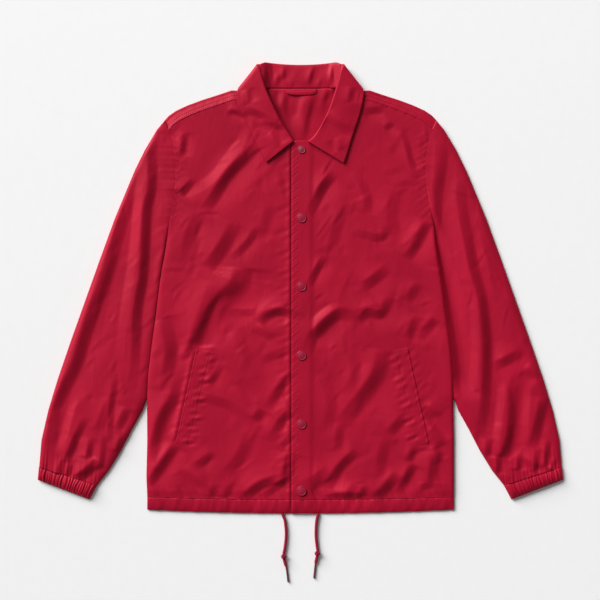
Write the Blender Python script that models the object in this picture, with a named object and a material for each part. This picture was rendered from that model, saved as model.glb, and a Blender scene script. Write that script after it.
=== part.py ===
"""Coach jacket laid flat: thin cloth panels, collar, cuffs, hem casing, snaps and drawcord ends.

Left and right are as seen from above with the collar at the top, so _left lies towards -X.
Every size below is in millimetres, in the jacket's own frame: X across, Y towards the collar, Z up.
"""

import math

import bpy
from mathutils import Vector

MM = 0.001

# Cloth and its layers
CLOTH = 1.2
SEAM = 0.3
BODY_LOFT = 2.2
SIDE_ROLL = 18.0
COLLAR_LIFT = 1.5
RELIEF_TOP = 1.2
HEM_CLOTH = 2.0

# Plan sizes of the body
SHOULDER_END = 238.0
SHOULDER_UP = 292.0
PIT_UP = 105.0
HEM_UP = -366.0
HEM_MIDDLE_DROP = 5.0
HEM_DEPTH = 23.0
HEM_EDGE_CURVE = 1.5
HEM_HALF = 268.0
OVERLAP = 16.0
UNDERLAP_END = 17.0
UNDERLAP_FADE = 16.0
HEM_OVER_END = 40.0
HEM_OVER_FADE = 20.0
FORWARD_SEAM = 16.0
FOLD_START = 288.5
NECK_HALF = 74.0
NECK_BACK_UP = 347.0

# Where the back starts to rise over the collar beneath, and the distance over which it does
LIFT_START_UP = 298.0
LIFT_RUN_UP = 28.0
LIFT_END_ACROSS = 138.0
LIFT_RUN_ACROSS = 26.0

# Folds stay off the placket and the welts, and the body thins out below the pit
PLACKET_CALM = 14.0
WELT_AROUND = 3.0
WELT_FADE = 16.0
PIT_FADE = 40.0

# Colours of the finishes, linear red, green and blue
RED_CLOTH = (0.376, 0.012, 0.034, 1.0)
RED_CAP = (0.330, 0.014, 0.036, 1.0)
RED_CORD = (0.290, 0.010, 0.028, 1.0)
DARK_TIP = (0.120, 0.012, 0.024, 1.0)

# Armhole and side seam: height up the jacket, distance of the left and the right edge from the middle
SIDE = (
    (-366.0, 268.0, 268.5),
    (-330.0, 269.5, 268.5),
    (-266.0, 268.0, 268.5),
    (-191.0, 268.5, 267.0),
    (-151.0, 266.5, 266.0),
    (-111.0, 261.5, 263.0),
    (-46.0, 253.0, 254.5),
    (26.0, 244.0, 244.5),
    (66.0, 237.0, 238.0),
    (105.0, 231.0, 233.0),
    (131.0, 227.0, 227.5),
    (159.0, 222.0, 223.0),
    (185.0, 218.5, 219.0),
    (220.0, 220.0, 218.0),
    (248.0, 222.5, 221.5),
    (276.0, 230.0, 230.0),
    (292.0, 238.0, 238.0),
)

# Shoulder fold: distance from the middle, height up
SHOULDER = (
    (74.0, 345.5),
    (105.0, 344.5),
    (121.0, 345.0),
    (145.0, 337.0),
    (173.0, 328.0),
    (196.0, 319.5),
    (217.0, 310.0),
    (230.0, 301.0),
    (238.0, 292.0),
)

# Front neck seam: distance from the middle, height up
NECK = (
    (18.0, 251.5),
    (31.0, 260.0),
    (45.0, 280.0),
    (62.0, 311.0),
    (72.0, 330.0),
)

# Rows of the panels, as heights up the side edge; the last is the end of the forward shoulder seam
SIDE_ROWS = (
    -366.0, -336.0, -301.0, -266.0, -229.0, -191.0, -151.0, -111.0, -79.0, -46.0,
    -10.0, 26.0, 66.0, 105.0, 131.0, 159.0, 185.0, 220.0, 248.0, 276.0,
)
# Top of the placket: distance from the middle, height up
PLACKET_RIGHT = ((-16.0, 251.0), (-8.0, 257.0))
PLACKET_LEFT = ((-16.0, 257.0),)
PLACKET_END = ((9.0, 257.0), (11.5, 255.2))
# Columns of a front, as distances from the middle along its top edge
FRONT_COLUMNS = (
    18.0, 31.0, 45.0, 62.0, 72.0, 96.0, 120.0, 145.0, 170.0, 195.0, 212.0, 223.0, 230.0,
)
# Columns of the back, as distances from the middle along the forward shoulder seams
BACK_COLUMNS = (0.0, 36.0, 72.0, 96.0, 120.0, 145.0, 170.0, 195.0, 212.0, 223.0, 230.0)
# Columns of the hem casing, as distances from the middle
HEM_COLUMNS = (16.0, 38.0, 70.0, 105.0, 140.0, 175.0, 210.0, 238.0, 256.0, 268.0)

# Sleeve outline beyond the shoulder: height up, distance from the middle
SLEEVE_OUTER = (
    (-314.0, 457.0),
    (-266.0, 453.0),
    (-214.0, 441.0),
    (-161.0, 425.0),
    (-91.0, 401.0),
    (-21.0, 376.0),
    (49.0, 351.0),
    (119.0, 325.5),
    (171.0, 304.5),
    (206.0, 290.5),
    (241.0, 274.0),
    (276.0, 254.0),
    (293.0, 240.0),
)
# Free inner edge of a sleeve below the body: height up, distance from the middle
SLEEVE_INNER = (
    (-346.0, 356.0),
    (-319.0, 334.5),
    (-284.0, 313.0),
    (-249.0, 295.0),
    (-214.0, 275.5),
    (-196.0, 269.5),
)
SLEEVE_FREE_UP = -196.0
# Sections of a sleeve: height of the outer and of the inner end, share of the armhole curve, loft
SLEEVE_SECTIONS = (
    (292.0, 105.0, 1.0, 0.0),
    (262.0, 86.0, 0.7, 0.5),
    (225.0, 66.0, 0.4, 1.0),
    (180.0, 26.0, 0.15, 1.0),
    (130.0, -10.0, 0.0, 1.0),
    (80.0, -46.0, 0.0, 1.0),
    (30.0, -79.0, 0.0, 1.0),
    (-20.0, -111.0, 0.0, 1.0),
    (-75.0, -151.0, 0.0, 1.0),
    (-130.0, -191.0, 0.0, 1.0),
    (-180.0, -232.0, 0.0, 1.0),
    (-228.0, -270.0, 0.0, 1.0),
    (-272.0, -310.0, 0.0, 1.0),
    (-313.75, -345.98, 0.0, 0.9),
)
# Rows down the armhole, which are also the lines of points along a sleeve
ARMHOLE_ROWS = (292.0, 276.0, 248.0, 220.0, 185.0, 159.0, 131.0, 105.0)
SLEEVE_BASE = 3.0
SLEEVE_LOFT = 2.4
SLEEVE_RELIEF = 1.0
# Wall at the side folds of sleeves and cuffs, in thicknesses of their cloth
FOLD_WALL = 1.6

# Cuff corners for the right sleeve: across, up
CUFF_OUTER_TOP = (457.5, -314.0)
CUFF_INNER_TOP = (356.0, -346.3)
CUFF_OUTER_END = (459.6, -335.5)
CUFF_INNER_END = (368.5, -370.0)
CUFF_HEIGHT = 8.0
CUFF_CLOTH = 2.2
CUFF_ACROSS = (0.0, 0.06, 0.2, 0.4, 0.6, 0.8, 0.94, 1.0)
CUFF_DOWN = (0.0, 0.33, 0.67, 1.0)
# Shares of the height that a cuff loses towards its ends and its folds
CUFF_END_DROP = 0.25
CUFF_FOLD_DROP = 0.35

# Collar stations from a front end to the back: neck seam, roll and edge, each across and up,
# then the lean of the leaf from the stand in degrees: 90 is above it, 0 beside it, -90 below it
COLLAR_LEFT = (
    ((18.0, 252.2), (12.6, 255.4), (60.4, 218.3), 90.0),
    ((29.5, 261.0), (19.5, 267.0), (72.0, 242.0), 90.0),
    ((44.5, 281.4), (33.5, 290.0), (84.0, 266.0), 90.0),
    ((61.3, 311.6), (48.0, 318.0), (98.0, 297.0), 90.0),
    ((70.8, 330.8), (59.0, 342.0), (108.5, 318.0), 90.0),
    ((71.9, 339.0), (66.0, 363.0), (111.0, 336.0), 90.0),
    ((72.6, 345.0), (70.0, 380.0), (109.5, 344.5), 65.0),
    ((72.3, 348.5), (71.4, 386.0), (106.0, 350.5), 0.0),
    ((69.0, 348.5), (69.5, 389.5), (100.0, 346.0), -65.0),
    ((61.0, 348.0), (65.5, 391.8), (88.0, 338.5), -90.0),
    ((49.0, 347.9), (58.0, 392.9), (66.0, 332.0), -90.0),
    ((26.0, 347.9), (28.0, 390.2), (30.0, 329.5), -90.0),
)
COLLAR_RIGHT = (
    ((18.0, 252.2), (12.6, 255.4), (76.1, 216.9), 90.0),
    ((30.2, 260.6), (22.5, 263.5), (83.0, 238.0), 90.0),
    ((44.5, 281.4), (36.5, 283.5), (90.0, 262.0), 90.0),
    ((61.3, 311.6), (50.5, 313.5), (99.5, 290.0), 90.0),
    ((70.8, 330.8), (59.5, 340.0), (107.0, 316.0), 90.0),
    ((71.9, 339.0), (65.5, 361.0), (110.5, 336.0), 90.0),
    ((72.6, 345.0), (69.5, 379.0), (109.5, 344.5), 65.0),
    ((72.3, 348.5), (70.8, 386.0), (106.0, 350.5), 0.0),
    ((69.0, 348.5), (69.0, 389.5), (100.0, 346.0), -65.0),
    ((61.0, 348.0), (65.0, 391.8), (88.0, 338.5), -90.0),
    ((49.0, 347.9), (58.0, 392.9), (66.0, 332.0), -90.0),
    ((26.0, 347.9), (28.0, 390.2), (30.0, 329.5), -90.0),
)
COLLAR_MIDDLE = ((0.0, 347.9), (0.0, 389.3), (0.0, 329.5), -90.0)
ROLL_RADIUS = 1.4
ROLL_INSET = 2.2
LEAF_SHARES = (0.25, 0.5, 0.75, 1.0)
LEAF_CLEAR = 0.4
# Highest place up the jacket at which a leaf follows the front beneath it
LEAF_REST_UP = 344.0
# Where the leaf stands beside its stand: the stand's height, and the way the roll bulges
TURN_UP = 4.0
TURN_OUTWARD = (0.75, 0.66)

# Welt pockets: corners across and up, outer top, inner top, inner end, outer end
WELT_LEFT = ((-182.0, -107.0), (-157.7, -111.0), (-198.6, -278.0), (-218.4, -272.0))
WELT_RIGHT = ((187.0, -104.0), (162.0, -110.0), (200.0, -275.5), (224.2, -272.0))
WELT_STEPS = 6
WELT_CLOTH = 1.0

# Snaps: height up, cap radius
SNAP_ROWS = ((240.9, 6.8), (121.9, 8.5), (2.4, 8.5), (-118.2, 8.5), (-238.1, 8.5), (-354.6, 8.5))
SNAP_ACROSS = 1.8
SNAP_SIDES = 16
# Cap profile: share of the radius, height above its seat
SNAP_PROFILE = ((1.0, 0.0), (1.0, 1.5), (0.86, 2.0), (0.78, 1.6), (0.5, 2.3))
SNAP_CROWN = 2.6

# Hanger loop along its middle line: across, up
LOOP_LINE = ((-25.0, 343.5), (-15.0, 340.8), (2.0, 340.0), (19.0, 340.8), (28.5, 343.5))
LOOP_WIDTH = 6.0
LOOP_CLOTH = 1.4
LOOP_STEPS = 8

# Drawcord ends
CORD_DIAMETER = 5.0
CORD_UP = 2.7
KNOT_RADIUS = 4.7
KNOT_CLEAR = 0.8
KNOT_UP = 0.1
KNOT_SIDES = 12
# Knot profile: share of its length, share of its radius
KNOT_PROFILE = (
    (-0.5, 0.5),
    (-0.42, 0.8),
    (-0.2, 1.0),
    (0.0, 0.9),
    (0.2, 1.0),
    (0.42, 0.8),
    (0.5, 0.5),
)
CORD_STEPS = 8
# Thickness of a tip along its length, as shares of the cord's
TIP_SIZES = (1.0, 1.05, 1.05, 0.9, 0.64, 0.64, 0.64)
# Routes of the cords from the hem edge to the knot, and of the tips beyond it: across, up
CORD_LEFT = (
    (-31.5, -395.1),
    (-29.6, -400.6),
    (-27.1, -407.5),
    (-25.2, -425.5),
    (-25.6, -440.6),
    (-27.7, -456.7),
    (-29.4, -464.4),
)
TIP_LEFT = ((-29.0, -473.4), (-26.5, -483.0), (-24.2, -491.9), (-21.4, -514.8))
CORD_RIGHT = (
    (31.3, -395.1),
    (29.7, -400.3),
    (28.2, -407.0),
    (27.1, -420.4),
    (27.1, -435.5),
    (28.7, -450.5),
    (30.0, -458.9),
)
TIP_RIGHT = ((29.3, -468.2), (27.1, -478.0), (25.7, -487.9), (23.6, -508.0))
# Drawcord ends: side, cord route, tip route
DRAWCORDS = (("left", CORD_LEFT, TIP_LEFT), ("right", CORD_RIGHT, TIP_RIGHT))

# Largest folds: line across and up, half width, height above the cloth around it
FOLDS = (
    (((-96.0, 268.0), (-127.0, 224.0), (-157.0, 192.0), (-195.0, 181.0)), 13.0, 1.0),
    (((-82.0, 240.0), (-125.0, 202.0), (-153.0, 162.0), (-168.0, 120.0)), 13.0, -1.8),
    (((-120.0, 110.0), (-138.0, 60.0), (-150.0, 20.0)), 16.0, -1.4),
    (((-128.0, 16.0), (-150.0, -20.0), (-175.0, -80.0)), 26.0, -2.0),
    (((-120.0, -40.0), (-150.0, -66.0), (-166.0, -100.0)), 11.0, 1.0),
    (((-16.0, -46.0), (-45.0, -48.0), (-66.0, -58.0)), 10.0, -1.6),
    (((-222.0, -95.0), (-243.0, -180.0)), 13.0, -1.4),
    (((-204.0, -200.0), (-240.0, -265.0), (-262.0, -300.0)), 13.0, -2.0),
    (((-229.0, -281.0), (-262.0, -340.0)), 9.0, -1.6),
    (((-17.0, -300.0), (-43.0, -335.0), (-88.0, -362.0)), 14.0, -2.0),
    (((-17.0, -150.0), (-60.0, -210.0)), 11.0, -1.5),
    (((55.0, 190.0), (20.0, 130.0)), 12.0, -1.4),
    (((178.0, 255.0), (199.0, 205.0)), 9.0, -1.2),
    (((228.0, 105.0), (205.0, 60.0)), 11.0, -1.4),
    (((152.0, -15.0), (138.0, -45.0), (100.0, -60.0), (50.0, -50.0), (16.0, -112.0)), 11.0, -1.9),
    (((120.0, -30.0), (70.0, -20.0)), 12.0, 1.0),
    (((139.0, -125.0), (108.0, -188.0), (68.0, -242.0)), 18.0, -2.0),
    (((97.0, -290.0), (48.0, -347.0)), 11.0, -1.8),
    (((199.0, -310.0), (167.0, -358.0)), 9.0, -1.7),
    (((165.0, -325.0), (128.0, -366.0)), 12.0, -1.6),
    (((205.0, -50.0), (186.0, -92.0)), 8.0, -1.3),
    (((-262.0, 224.0), (-271.0, 100.0), (-283.0, -20.0), (-293.0, -125.0)), 14.0, -1.9),
    (((-328.0, 80.0), (-372.0, -50.0), (-410.0, -155.0), (-430.0, -210.0)), 17.0, -1.4),
    (((-300.0, 130.0), (-312.0, -30.0)), 20.0, 0.9),
    (((247.0, 215.0), (241.0, 100.0), (262.0, -100.0), (270.0, -190.0)), 13.0, -1.9),
    (((293.0, 120.0), (314.0, 10.0), (325.0, -120.0), (323.0, -235.0)), 15.0, -1.6),
    (((360.0, -116.0), (400.0, -146.0), (424.0, -165.0)), 11.0, -1.2),
    (((369.0, -180.0), (362.0, -290.0)), 11.0, -1.6),
    (((418.0, -200.0), (411.0, -285.0)), 11.0, -1.6),
)


def soft_step(value):
    """Rises smoothly from 0 to 1."""
    value = min(1.0, max(0.0, value))
    return value * value * (3.0 - 2.0 * value)


def read_table(table, at, column=1):
    """Value of a column at a place in the table's first column, along straight lines."""
    for low, high in zip(table, table[1:]):
        if at <= high[0]:
            share = max(0.0, (at - low[0]) / (high[0] - low[0]))
            return low[column] + share * (high[column] - low[column])
    return table[-1][column]


def along_line(points, share):
    """Point at a share of a smooth curve through the points."""
    last = len(points) - 1
    place = min(share * last, last - 1e-9)
    index = int(place)
    part = place - index
    p0 = points[max(index - 1, 0)]
    p1 = points[index]
    p2 = points[index + 1]
    p3 = points[min(index + 2, last)]
    found = []
    for a, b, c, d in zip(p0, p1, p2, p3):
        bend = 2 * a - 5 * b + 4 * c - d
        twist = 3 * b - a - 3 * c + d
        found.append(0.5 * (2 * b + (c - a) * part + bend * part**2 + twist * part**3))
    return tuple(found)


def relief(x, y):
    """Height that the folds add at a place, fading sideways and to both ends of each line."""
    total = 0.0
    for line, width, height in FOLDS:
        nearest = 1e9
        share = 0.0
        spans = len(line) - 1
        for index in range(spans):
            ax, ay = line[index]
            bx, by = line[index + 1]
            run = (bx - ax) ** 2 + (by - ay) ** 2
            part = ((x - ax) * (bx - ax) + (y - ay) * (by - ay)) / run
            part = min(1.0, max(0.0, part))
            away = math.hypot(x - ax - part * (bx - ax), y - ay - part * (by - ay))
            if away < nearest:
                nearest = away
                share = (index + part) / spans
        if nearest < 3.0 * width:
            fade = 0.35 + 0.65 * math.sin(math.pi * share)
            total += height * fade * math.exp(-((nearest / width) ** 2))
    return total


def side_edge(side, up):
    """Distance of the armhole or side seam from the middle; side is -1 or 1."""
    return read_table(SIDE, up, 1 if side < 0 else 2)


def shoulder_up(across):
    return read_table(SHOULDER, max(abs(across), NECK_HALF))


def forward_up(across):
    """Top edge of a front: its neck seam, then the forward shoulder seam."""
    if across < NECK[-1][0]:
        return read_table(NECK, across)
    share = (across - NECK[-1][0]) / (FRONT_COLUMNS[-1] - NECK[-1][0])
    fold = NECK_HALF + share * (SHOULDER_END - NECK_HALF)
    drop = share * (FORWARD_SEAM - SHOULDER[0][1] + NECK[-1][1])
    return NECK[-1][1] + shoulder_up(fold) - SHOULDER[0][1] - drop


def hem_seam(across):
    """Height of the seam above the hem casing, which hangs a little lower in the middle."""
    return HEM_UP - HEM_MIDDLE_DROP * (1.0 - (across / HEM_HALF) ** 2)


def hem_edge(across):
    return hem_seam(across) - HEM_DEPTH + HEM_EDGE_CURVE * (across / HEM_HALF) ** 2


def collar_lift(x, y):
    """The back and all above it rise over the part of the collar that lies beneath."""
    along = soft_step((y - LIFT_START_UP) / LIFT_RUN_UP)
    return COLLAR_LIFT * along * soft_step((LIFT_END_ACROSS - abs(x)) / LIFT_RUN_ACROSS)


def inside_quad(corners, x, y):
    """1 inside a welt, fading to 0 round it."""
    (ax, ay), (bx, by), (cx, cy), (dx, dy) = corners
    share = min(1.0, max(0.0, (y - ay) / (dy - ay)))
    middle = (ax + bx) / 2 + share * ((cx + dx) - (ax + bx)) / 2
    half = abs(bx - ax) / 2 + WELT_AROUND
    beyond = max(abs(x - middle) - half, dy - y, y - ay, 0.0)
    return 1.0 - soft_step(beyond / WELT_FADE)


def front_low(x, y):
    """Height of the underside of a front above the table."""
    side = 1 if x > 0 else -1
    inset = side_edge(side, y) - abs(x)
    below_pit = soft_step((PIT_UP - y) / PIT_FADE + 0.5)
    rise = 1.0 - below_pit * (1.0 - soft_step(inset / SIDE_ROLL))
    calm = soft_step(abs(x) / PLACKET_CALM - 1.0)
    calm *= 1.0 - max(inside_quad(WELT_LEFT, x, y), inside_quad(WELT_RIGHT, x, y))
    height = (BODY_LOFT + min(RELIEF_TOP, relief(x, y)) * calm) * rise
    return CLOTH + SEAM + collar_lift(x, y) + max(0.0, height)


def left_front_low(x, y):
    """The left front runs beneath the other one, flat under the placket."""
    flat = CLOTH + SEAM + collar_lift(x, y)
    return flat + (front_low(x, y) - flat) * soft_step((-UNDERLAP_END - x) / UNDERLAP_FADE)


def new_material(name, colour, roughness):
    material = bpy.data.materials.new(name)
    material.use_nodes = True
    shader = material.node_tree.nodes["Principled BSDF"]
    shader.inputs["Base Color"].default_value = colour
    shader.inputs["Roughness"].default_value = roughness
    shader.inputs["Metallic"].default_value = 0.0
    return material


def new_object(name, points, faces, colour=RED_CLOTH, roughness=0.6):
    """An object from points in millimetres, with its normals turned outwards."""
    mesh = bpy.data.meshes.new(name)
    mesh.from_pydata([tuple(value * MM for value in point) for point in points], [], faces)
    mesh.validate()
    mesh.shade_smooth()
    mesh.set_sharp_from_angle(angle=math.radians(40.0))
    mesh.materials.append(new_material(name, colour, roughness))
    made = bpy.data.objects.new(name, mesh)
    bpy.context.scene.collection.objects.link(made)
    return made


def slab(name, rows, lows, cloth, colour=RED_CLOTH):
    """A wall over a grid of plan points: rows run up the jacket, each from left to right."""
    count = len(rows[0])
    points = []
    for lift in (0.0, cloth):
        for row, low_row in zip(rows, lows):
            points.extend((x, y, low + lift) for (x, y), low in zip(row, low_row))
    top = len(rows) * count
    faces = []
    for j in range(len(rows) - 1):
        for i in range(count - 1):
            a = j * count + i
            b = a + 1
            c = b + count
            d = a + count
            faces.append((a, d, c, b))
            faces.append((top + a, top + b, top + c, top + d))
    rim = list(range(count))
    rim += [j * count + count - 1 for j in range(1, len(rows))]
    rim += [top - 1 - i for i in range(1, count)]
    rim += [j * count for j in range(len(rows) - 2, 0, -1)]
    for a, b in zip(rim, rim[1:] + rim[:1]):
        faces.append((a, b, top + b, top + a))
    return new_object(name, points, faces, colour)


def tube_wall(name, rings, inner_rings, colour=RED_CLOTH):
    """An open tube with a wall: closed rings outside and inside, joined at both ends."""
    count = len(rings[0])
    points = [point for ring in rings + inner_rings for point in ring]
    inner = len(rings) * count
    faces = []
    for j in range(len(rings) - 1):
        for i in range(count):
            a = j * count + i
            b = j * count + (i + 1) % count
            faces.append((a, b, b + count, a + count))
            faces.append((inner + a, inner + a + count, inner + b + count, inner + b))
    last = (len(rings) - 1) * count
    for i in range(count):
        k = (i + 1) % count
        faces.append((k, i, inner + i, inner + k))
        faces.append((last + i, last + k, inner + last + k, inner + last + i))
    return new_object(name, points, faces, colour)


def flat_ring(line, tops, cloth):
    """Outer and inner ring of a flattened tube over a line of plan points between its two folds."""
    last = len(line) - 1
    middle = [(x, y) for x, y in line[1:last]]
    edge_up = min(tops[1], tops[-2]) / 2
    outer = [(*line[0], edge_up)]
    outer += [(x, y, top) for (x, y), top in zip(middle, tops[1:last])]
    outer += [(*line[last], edge_up)]
    outer += [(x, y, 0.0) for x, y in reversed(middle)]
    inset = FOLD_WALL * cloth
    inner = [(*inset_point(line[0], line[1], inset), edge_up)]
    inner += [(x, y, top - cloth) for (x, y), top in zip(middle, tops[1:last])]
    inner += [(*inset_point(line[last], line[last - 1], inset), edge_up)]
    inner += [(x, y, cloth) for x, y in reversed(middle)]
    return outer, inner


def inset_point(start, towards, distance):
    run = math.hypot(towards[0] - start[0], towards[1] - start[1])
    share = distance / run
    return (
        start[0] + share * (towards[0] - start[0]),
        start[1] + share * (towards[1] - start[1]),
    )


def front_rows(side):
    """Plan points of a front, its columns running from the middle to the side edge."""
    columns = list(PLACKET_LEFT if side < 0 else PLACKET_RIGHT) + list(PLACKET_END)
    for across in FRONT_COLUMNS:
        columns.append((across, forward_up(across)))
    inner = columns[0][0]
    widest = columns[-1][0] - inner
    rows = []
    for up in SIDE_ROWS:
        share_up = (up - HEM_UP) / (SIDE_ROWS[-1] - HEM_UP)
        row = []
        for across, top in columns:
            x = inner + (across - inner) / widest * (side_edge(side, up) - inner)
            base = hem_seam(x)
            row.append((side * x, base + share_up * (top - base)))
        rows.append(row if side > 0 else row[::-1])
    return rows


def make_front(name, side, low):
    rows = front_rows(side)
    return slab(name, rows, [[low(x, y) for x, y in row] for row in rows], CLOTH)


def make_back():
    """Flat back panel that wraps over each shoulder down to the forward seam."""
    columns = [-across for across in BACK_COLUMNS[:0:-1]] + list(BACK_COLUMNS)
    points = []
    index = {}

    def add(row, column, point):
        index[row, column] = len(points)
        points.append(point)

    def plan(across, up):
        side = -1 if across < 0 else 1
        share = across / BACK_COLUMNS[-1]
        in_neck = abs(across) < NECK[-1][0]
        top = NECK_BACK_UP if in_neck else shoulder_up(share * SHOULDER_END)
        x = share * side_edge(side, up)
        base = hem_seam(x)
        return x, base + (up - HEM_UP) / (SHOULDER_UP - HEM_UP) * (top - base)

    side_rows = SIDE_ROWS + (FOLD_START,)
    for column, across in enumerate(columns):
        for row, up in enumerate(side_rows):
            x, y = plan(across, up)
            if abs(across) < NECK[-1][0] and up == FOLD_START:
                y = NECK_BACK_UP
            add(row, column, (x, y, collar_lift(x, y)))
    first = len(side_rows)
    for column, across in enumerate(columns):
        if abs(across) < NECK[-1][0]:
            continue
        x, y, low = points[index[first - 1, column]]
        fold_x, fold_y = plan(across, SHOULDER_UP)
        seam_y = forward_up(abs(across)) + SEAM
        high = front_low(across, seam_y)
        half = (high - low) / 2
        add(first, column, (fold_x, fold_y - CLOTH / 2, low + half))
        add(first + 1, column, (x, fold_y - half - CLOTH, high))
        add(first + 2, column, (across, seam_y, high))
    faces = []
    for row in range(first + 2):
        for column in range(len(columns) - 1):
            corners = [(row, column), (row, column + 1), (row + 1, column + 1), (row + 1, column)]
            if all(corner in index for corner in corners):
                faces.append(tuple(index[corner] for corner in corners))
    back = new_object("back", [(x, y, z + CLOTH / 2) for x, y, z in points], faces)
    thicken(back, CLOTH)
    return back


def thicken(made, cloth):
    """Gives an open sheet its wall, half to each side."""
    wall = made.modifiers.new("Wall", "SOLIDIFY")
    wall.thickness = cloth * MM
    wall.offset = 0.0
    wall.use_even_offset = True
    wall.use_quality_normals = True
    return made


def sleeve_edge(side, up):
    if up >= SLEEVE_FREE_UP:
        return side_edge(side, up) + 2 * SEAM
    return read_table(SLEEVE_INNER, up)


def make_sleeve(name, side):
    """Flattened tube from the armhole to the cuff, open at both ends."""
    rings = []
    inner_rings = []
    head_x = read_table(SLEEVE_OUTER, SHOULDER_UP)
    for outer_up, inner_up, curve, loft in SLEEVE_SECTIONS:
        outer_x = read_table(SLEEVE_OUTER, outer_up)
        inner_x = sleeve_edge(side, inner_up)
        line = []
        tops = []
        for armhole_up in ARMHOLE_ROWS:
            share = (armhole_up - SHOULDER_UP) / (PIT_UP - SHOULDER_UP)
            x = outer_x + share * (inner_x - outer_x)
            y = outer_up + share * (inner_up - outer_up)
            straight = head_x + share * (sleeve_edge(side, PIT_UP) - head_x)
            x += curve * (side_edge(side, armhole_up) + SEAM - straight)
            dome = 1.0 - abs(2.0 * share - 1.0) ** 3
            height = SLEEVE_BASE + SLEEVE_LOFT * dome + relief(side * x, y)
            height = min(SLEEVE_BASE + SLEEVE_LOFT + SLEEVE_RELIEF, max(SLEEVE_BASE, height))
            at_armhole = front_low(side * side_edge(side, y), y) + CLOTH
            line.append((side * x, y))
            tops.append(at_armhole + loft * (height - at_armhole))
        if curve == 1.0:
            line[0] = (side * (SHOULDER_END + 3 * SEAM), SHOULDER_UP - CLOTH / 2)
        ring, inner_ring = flat_ring(line, tops, CLOTH)
        rings.append(ring)
        inner_rings.append(inner_ring)
    if side < 0:
        rings = [ring[::-1] for ring in rings]
        inner_rings = [ring[::-1] for ring in inner_rings]
    return tube_wall(name, rings, inner_rings)


def make_cuff(name, side):
    """Short flattened tube of gathered cloth at the end of a sleeve."""
    rings = []
    inner_rings = []
    for share_down in CUFF_DOWN:
        outer = [a + share_down * (b - a) for a, b in zip(CUFF_OUTER_TOP, CUFF_OUTER_END)]
        inner = [a + share_down * (b - a) for a, b in zip(CUFF_INNER_TOP, CUFF_INNER_END)]
        line = []
        tops = []
        for share in CUFF_ACROSS:
            x = outer[0] + share * (inner[0] - outer[0])
            y = outer[1] + share * (inner[1] - outer[1])
            line.append((side * x, y))
            bulge = 1.0 - CUFF_END_DROP * abs(2.0 * share_down - 1.0) ** 2
            bulge *= 1.0 - CUFF_FOLD_DROP * abs(2.0 * share - 1.0) ** 3
            tops.append(CUFF_HEIGHT * bulge)
        ring, inner_ring = flat_ring(line, tops, CUFF_CLOTH)
        rings.append(ring)
        inner_rings.append(inner_ring)
    if side < 0:
        rings = [ring[::-1] for ring in rings]
        inner_rings = [ring[::-1] for ring in inner_rings]
    return tube_wall(name, rings, inner_rings)


def collar_section(station, side):
    """Points of a collar section from its neck seam over the roll to the edge of its leaf."""
    (neck_x, neck_y), (roll_x, roll_y), (edge_x, edge_y), lean = station
    neck = Vector((side * neck_x, neck_y))
    roll = Vector((side * roll_x, roll_y))
    edge = Vector((side * edge_x, edge_y))
    above = max(0.0, math.sin(math.radians(lean)))
    beside = math.cos(math.radians(lean))
    stand_up = (COLLAR_LIFT + CLOTH / 2) * (1.0 - above)
    low = left_front_low if side < 0 else front_low
    stand_up += above * (low(neck.x, neck.y) + CLOTH / 2)
    if lean == 0.0:
        stand_up = TURN_UP
    turn = math.sin(math.radians(lean))
    outward = Vector((side * TURN_OUTWARD[0], TURN_OUTWARD[1])) * beside
    to_neck = (neck - roll).normalized()
    to_edge = (edge - roll).normalized()
    stand_end = roll + to_neck * ROLL_INSET
    leaf_start = roll + to_edge * ROLL_INSET + outward * ROLL_RADIUS
    roll_up = stand_up + turn * ROLL_RADIUS
    if lean < 0.0:
        roll_up = CLOTH / 2 + ROLL_RADIUS
        stand_up = CLOTH / 2 + COLLAR_LIFT
    leaf_up = roll_up + turn * ROLL_RADIUS
    stand_high = roll_up - turn * ROLL_RADIUS
    points = [(*neck, stand_up)]
    middle = neck.lerp(stand_end, 0.5)
    points.append((*middle, (stand_up + stand_high) / 2))
    points.append((*stand_end, stand_high))
    points.append((*roll, roll_up))
    points.append((*leaf_start, leaf_up))
    for share in LEAF_SHARES:
        place = leaf_start.lerp(edge, share)
        up = leaf_up
        if above:
            over = front_low(place.x, min(place.y, LEAF_REST_UP)) + CLOTH
            up = max(leaf_up, over + SEAM + LEAF_CLEAR + CLOTH / 2)
        if lean < 0.0:
            up = CLOTH / 2
        points.append((*place, up))
    return points


def make_collar():
    """One band folded on its roll, swept from the left front round the neck to the right front."""
    sections = [collar_section(station, -1) for station in COLLAR_LEFT]
    sections.append(collar_section(COLLAR_MIDDLE, 1))
    sections += [collar_section(station, 1) for station in reversed(COLLAR_RIGHT)]
    count = len(sections[0])
    points = [point for section in sections for point in section]
    faces = []
    for j in range(len(sections) - 1):
        for i in range(count - 1):
            a = j * count + i
            faces.append((a, a + 1, a + 1 + count, a + count))
    return thicken(new_object("collar", points, faces), CLOTH)


def make_hems():
    """Hem casing: one length beneath, and one on each front, the right over the left."""
    rest = CLOTH + SEAM
    over = rest + HEM_CLOTH + SEAM
    right = list(HEM_COLUMNS)
    left = [-x for x in reversed(HEM_COLUMNS)]
    pieces = (
        ("hem_back", left + [0.0] + right, None),
        ("hem_left", left + [0.0, OVERLAP], left_front_low),
        ("hem_right", [-OVERLAP, 0.0] + right, front_low),
    )
    for name, columns, front in pieces:
        rows = []
        lows = []
        for down in (1.0, 0.5, 0.0):
            row = []
            low_row = []
            for x in columns:
                seam = hem_seam(x) - SEAM
                row.append((x, seam + down * (hem_edge(x) - seam)))
                low = 0.0
                if front:
                    low = front(x, seam)
                    low += soft_step(down) * (rest - low)
                if front == front_low:
                    near = soft_step((HEM_OVER_END - x) / HEM_OVER_FADE)
                    low = max(low, rest + (over - rest) * near)
                low_row.append(low)
            rows.append(row)
            lows.append(low_row)
        slab(name, rows, lows, HEM_CLOTH if front else CLOTH)


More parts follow.
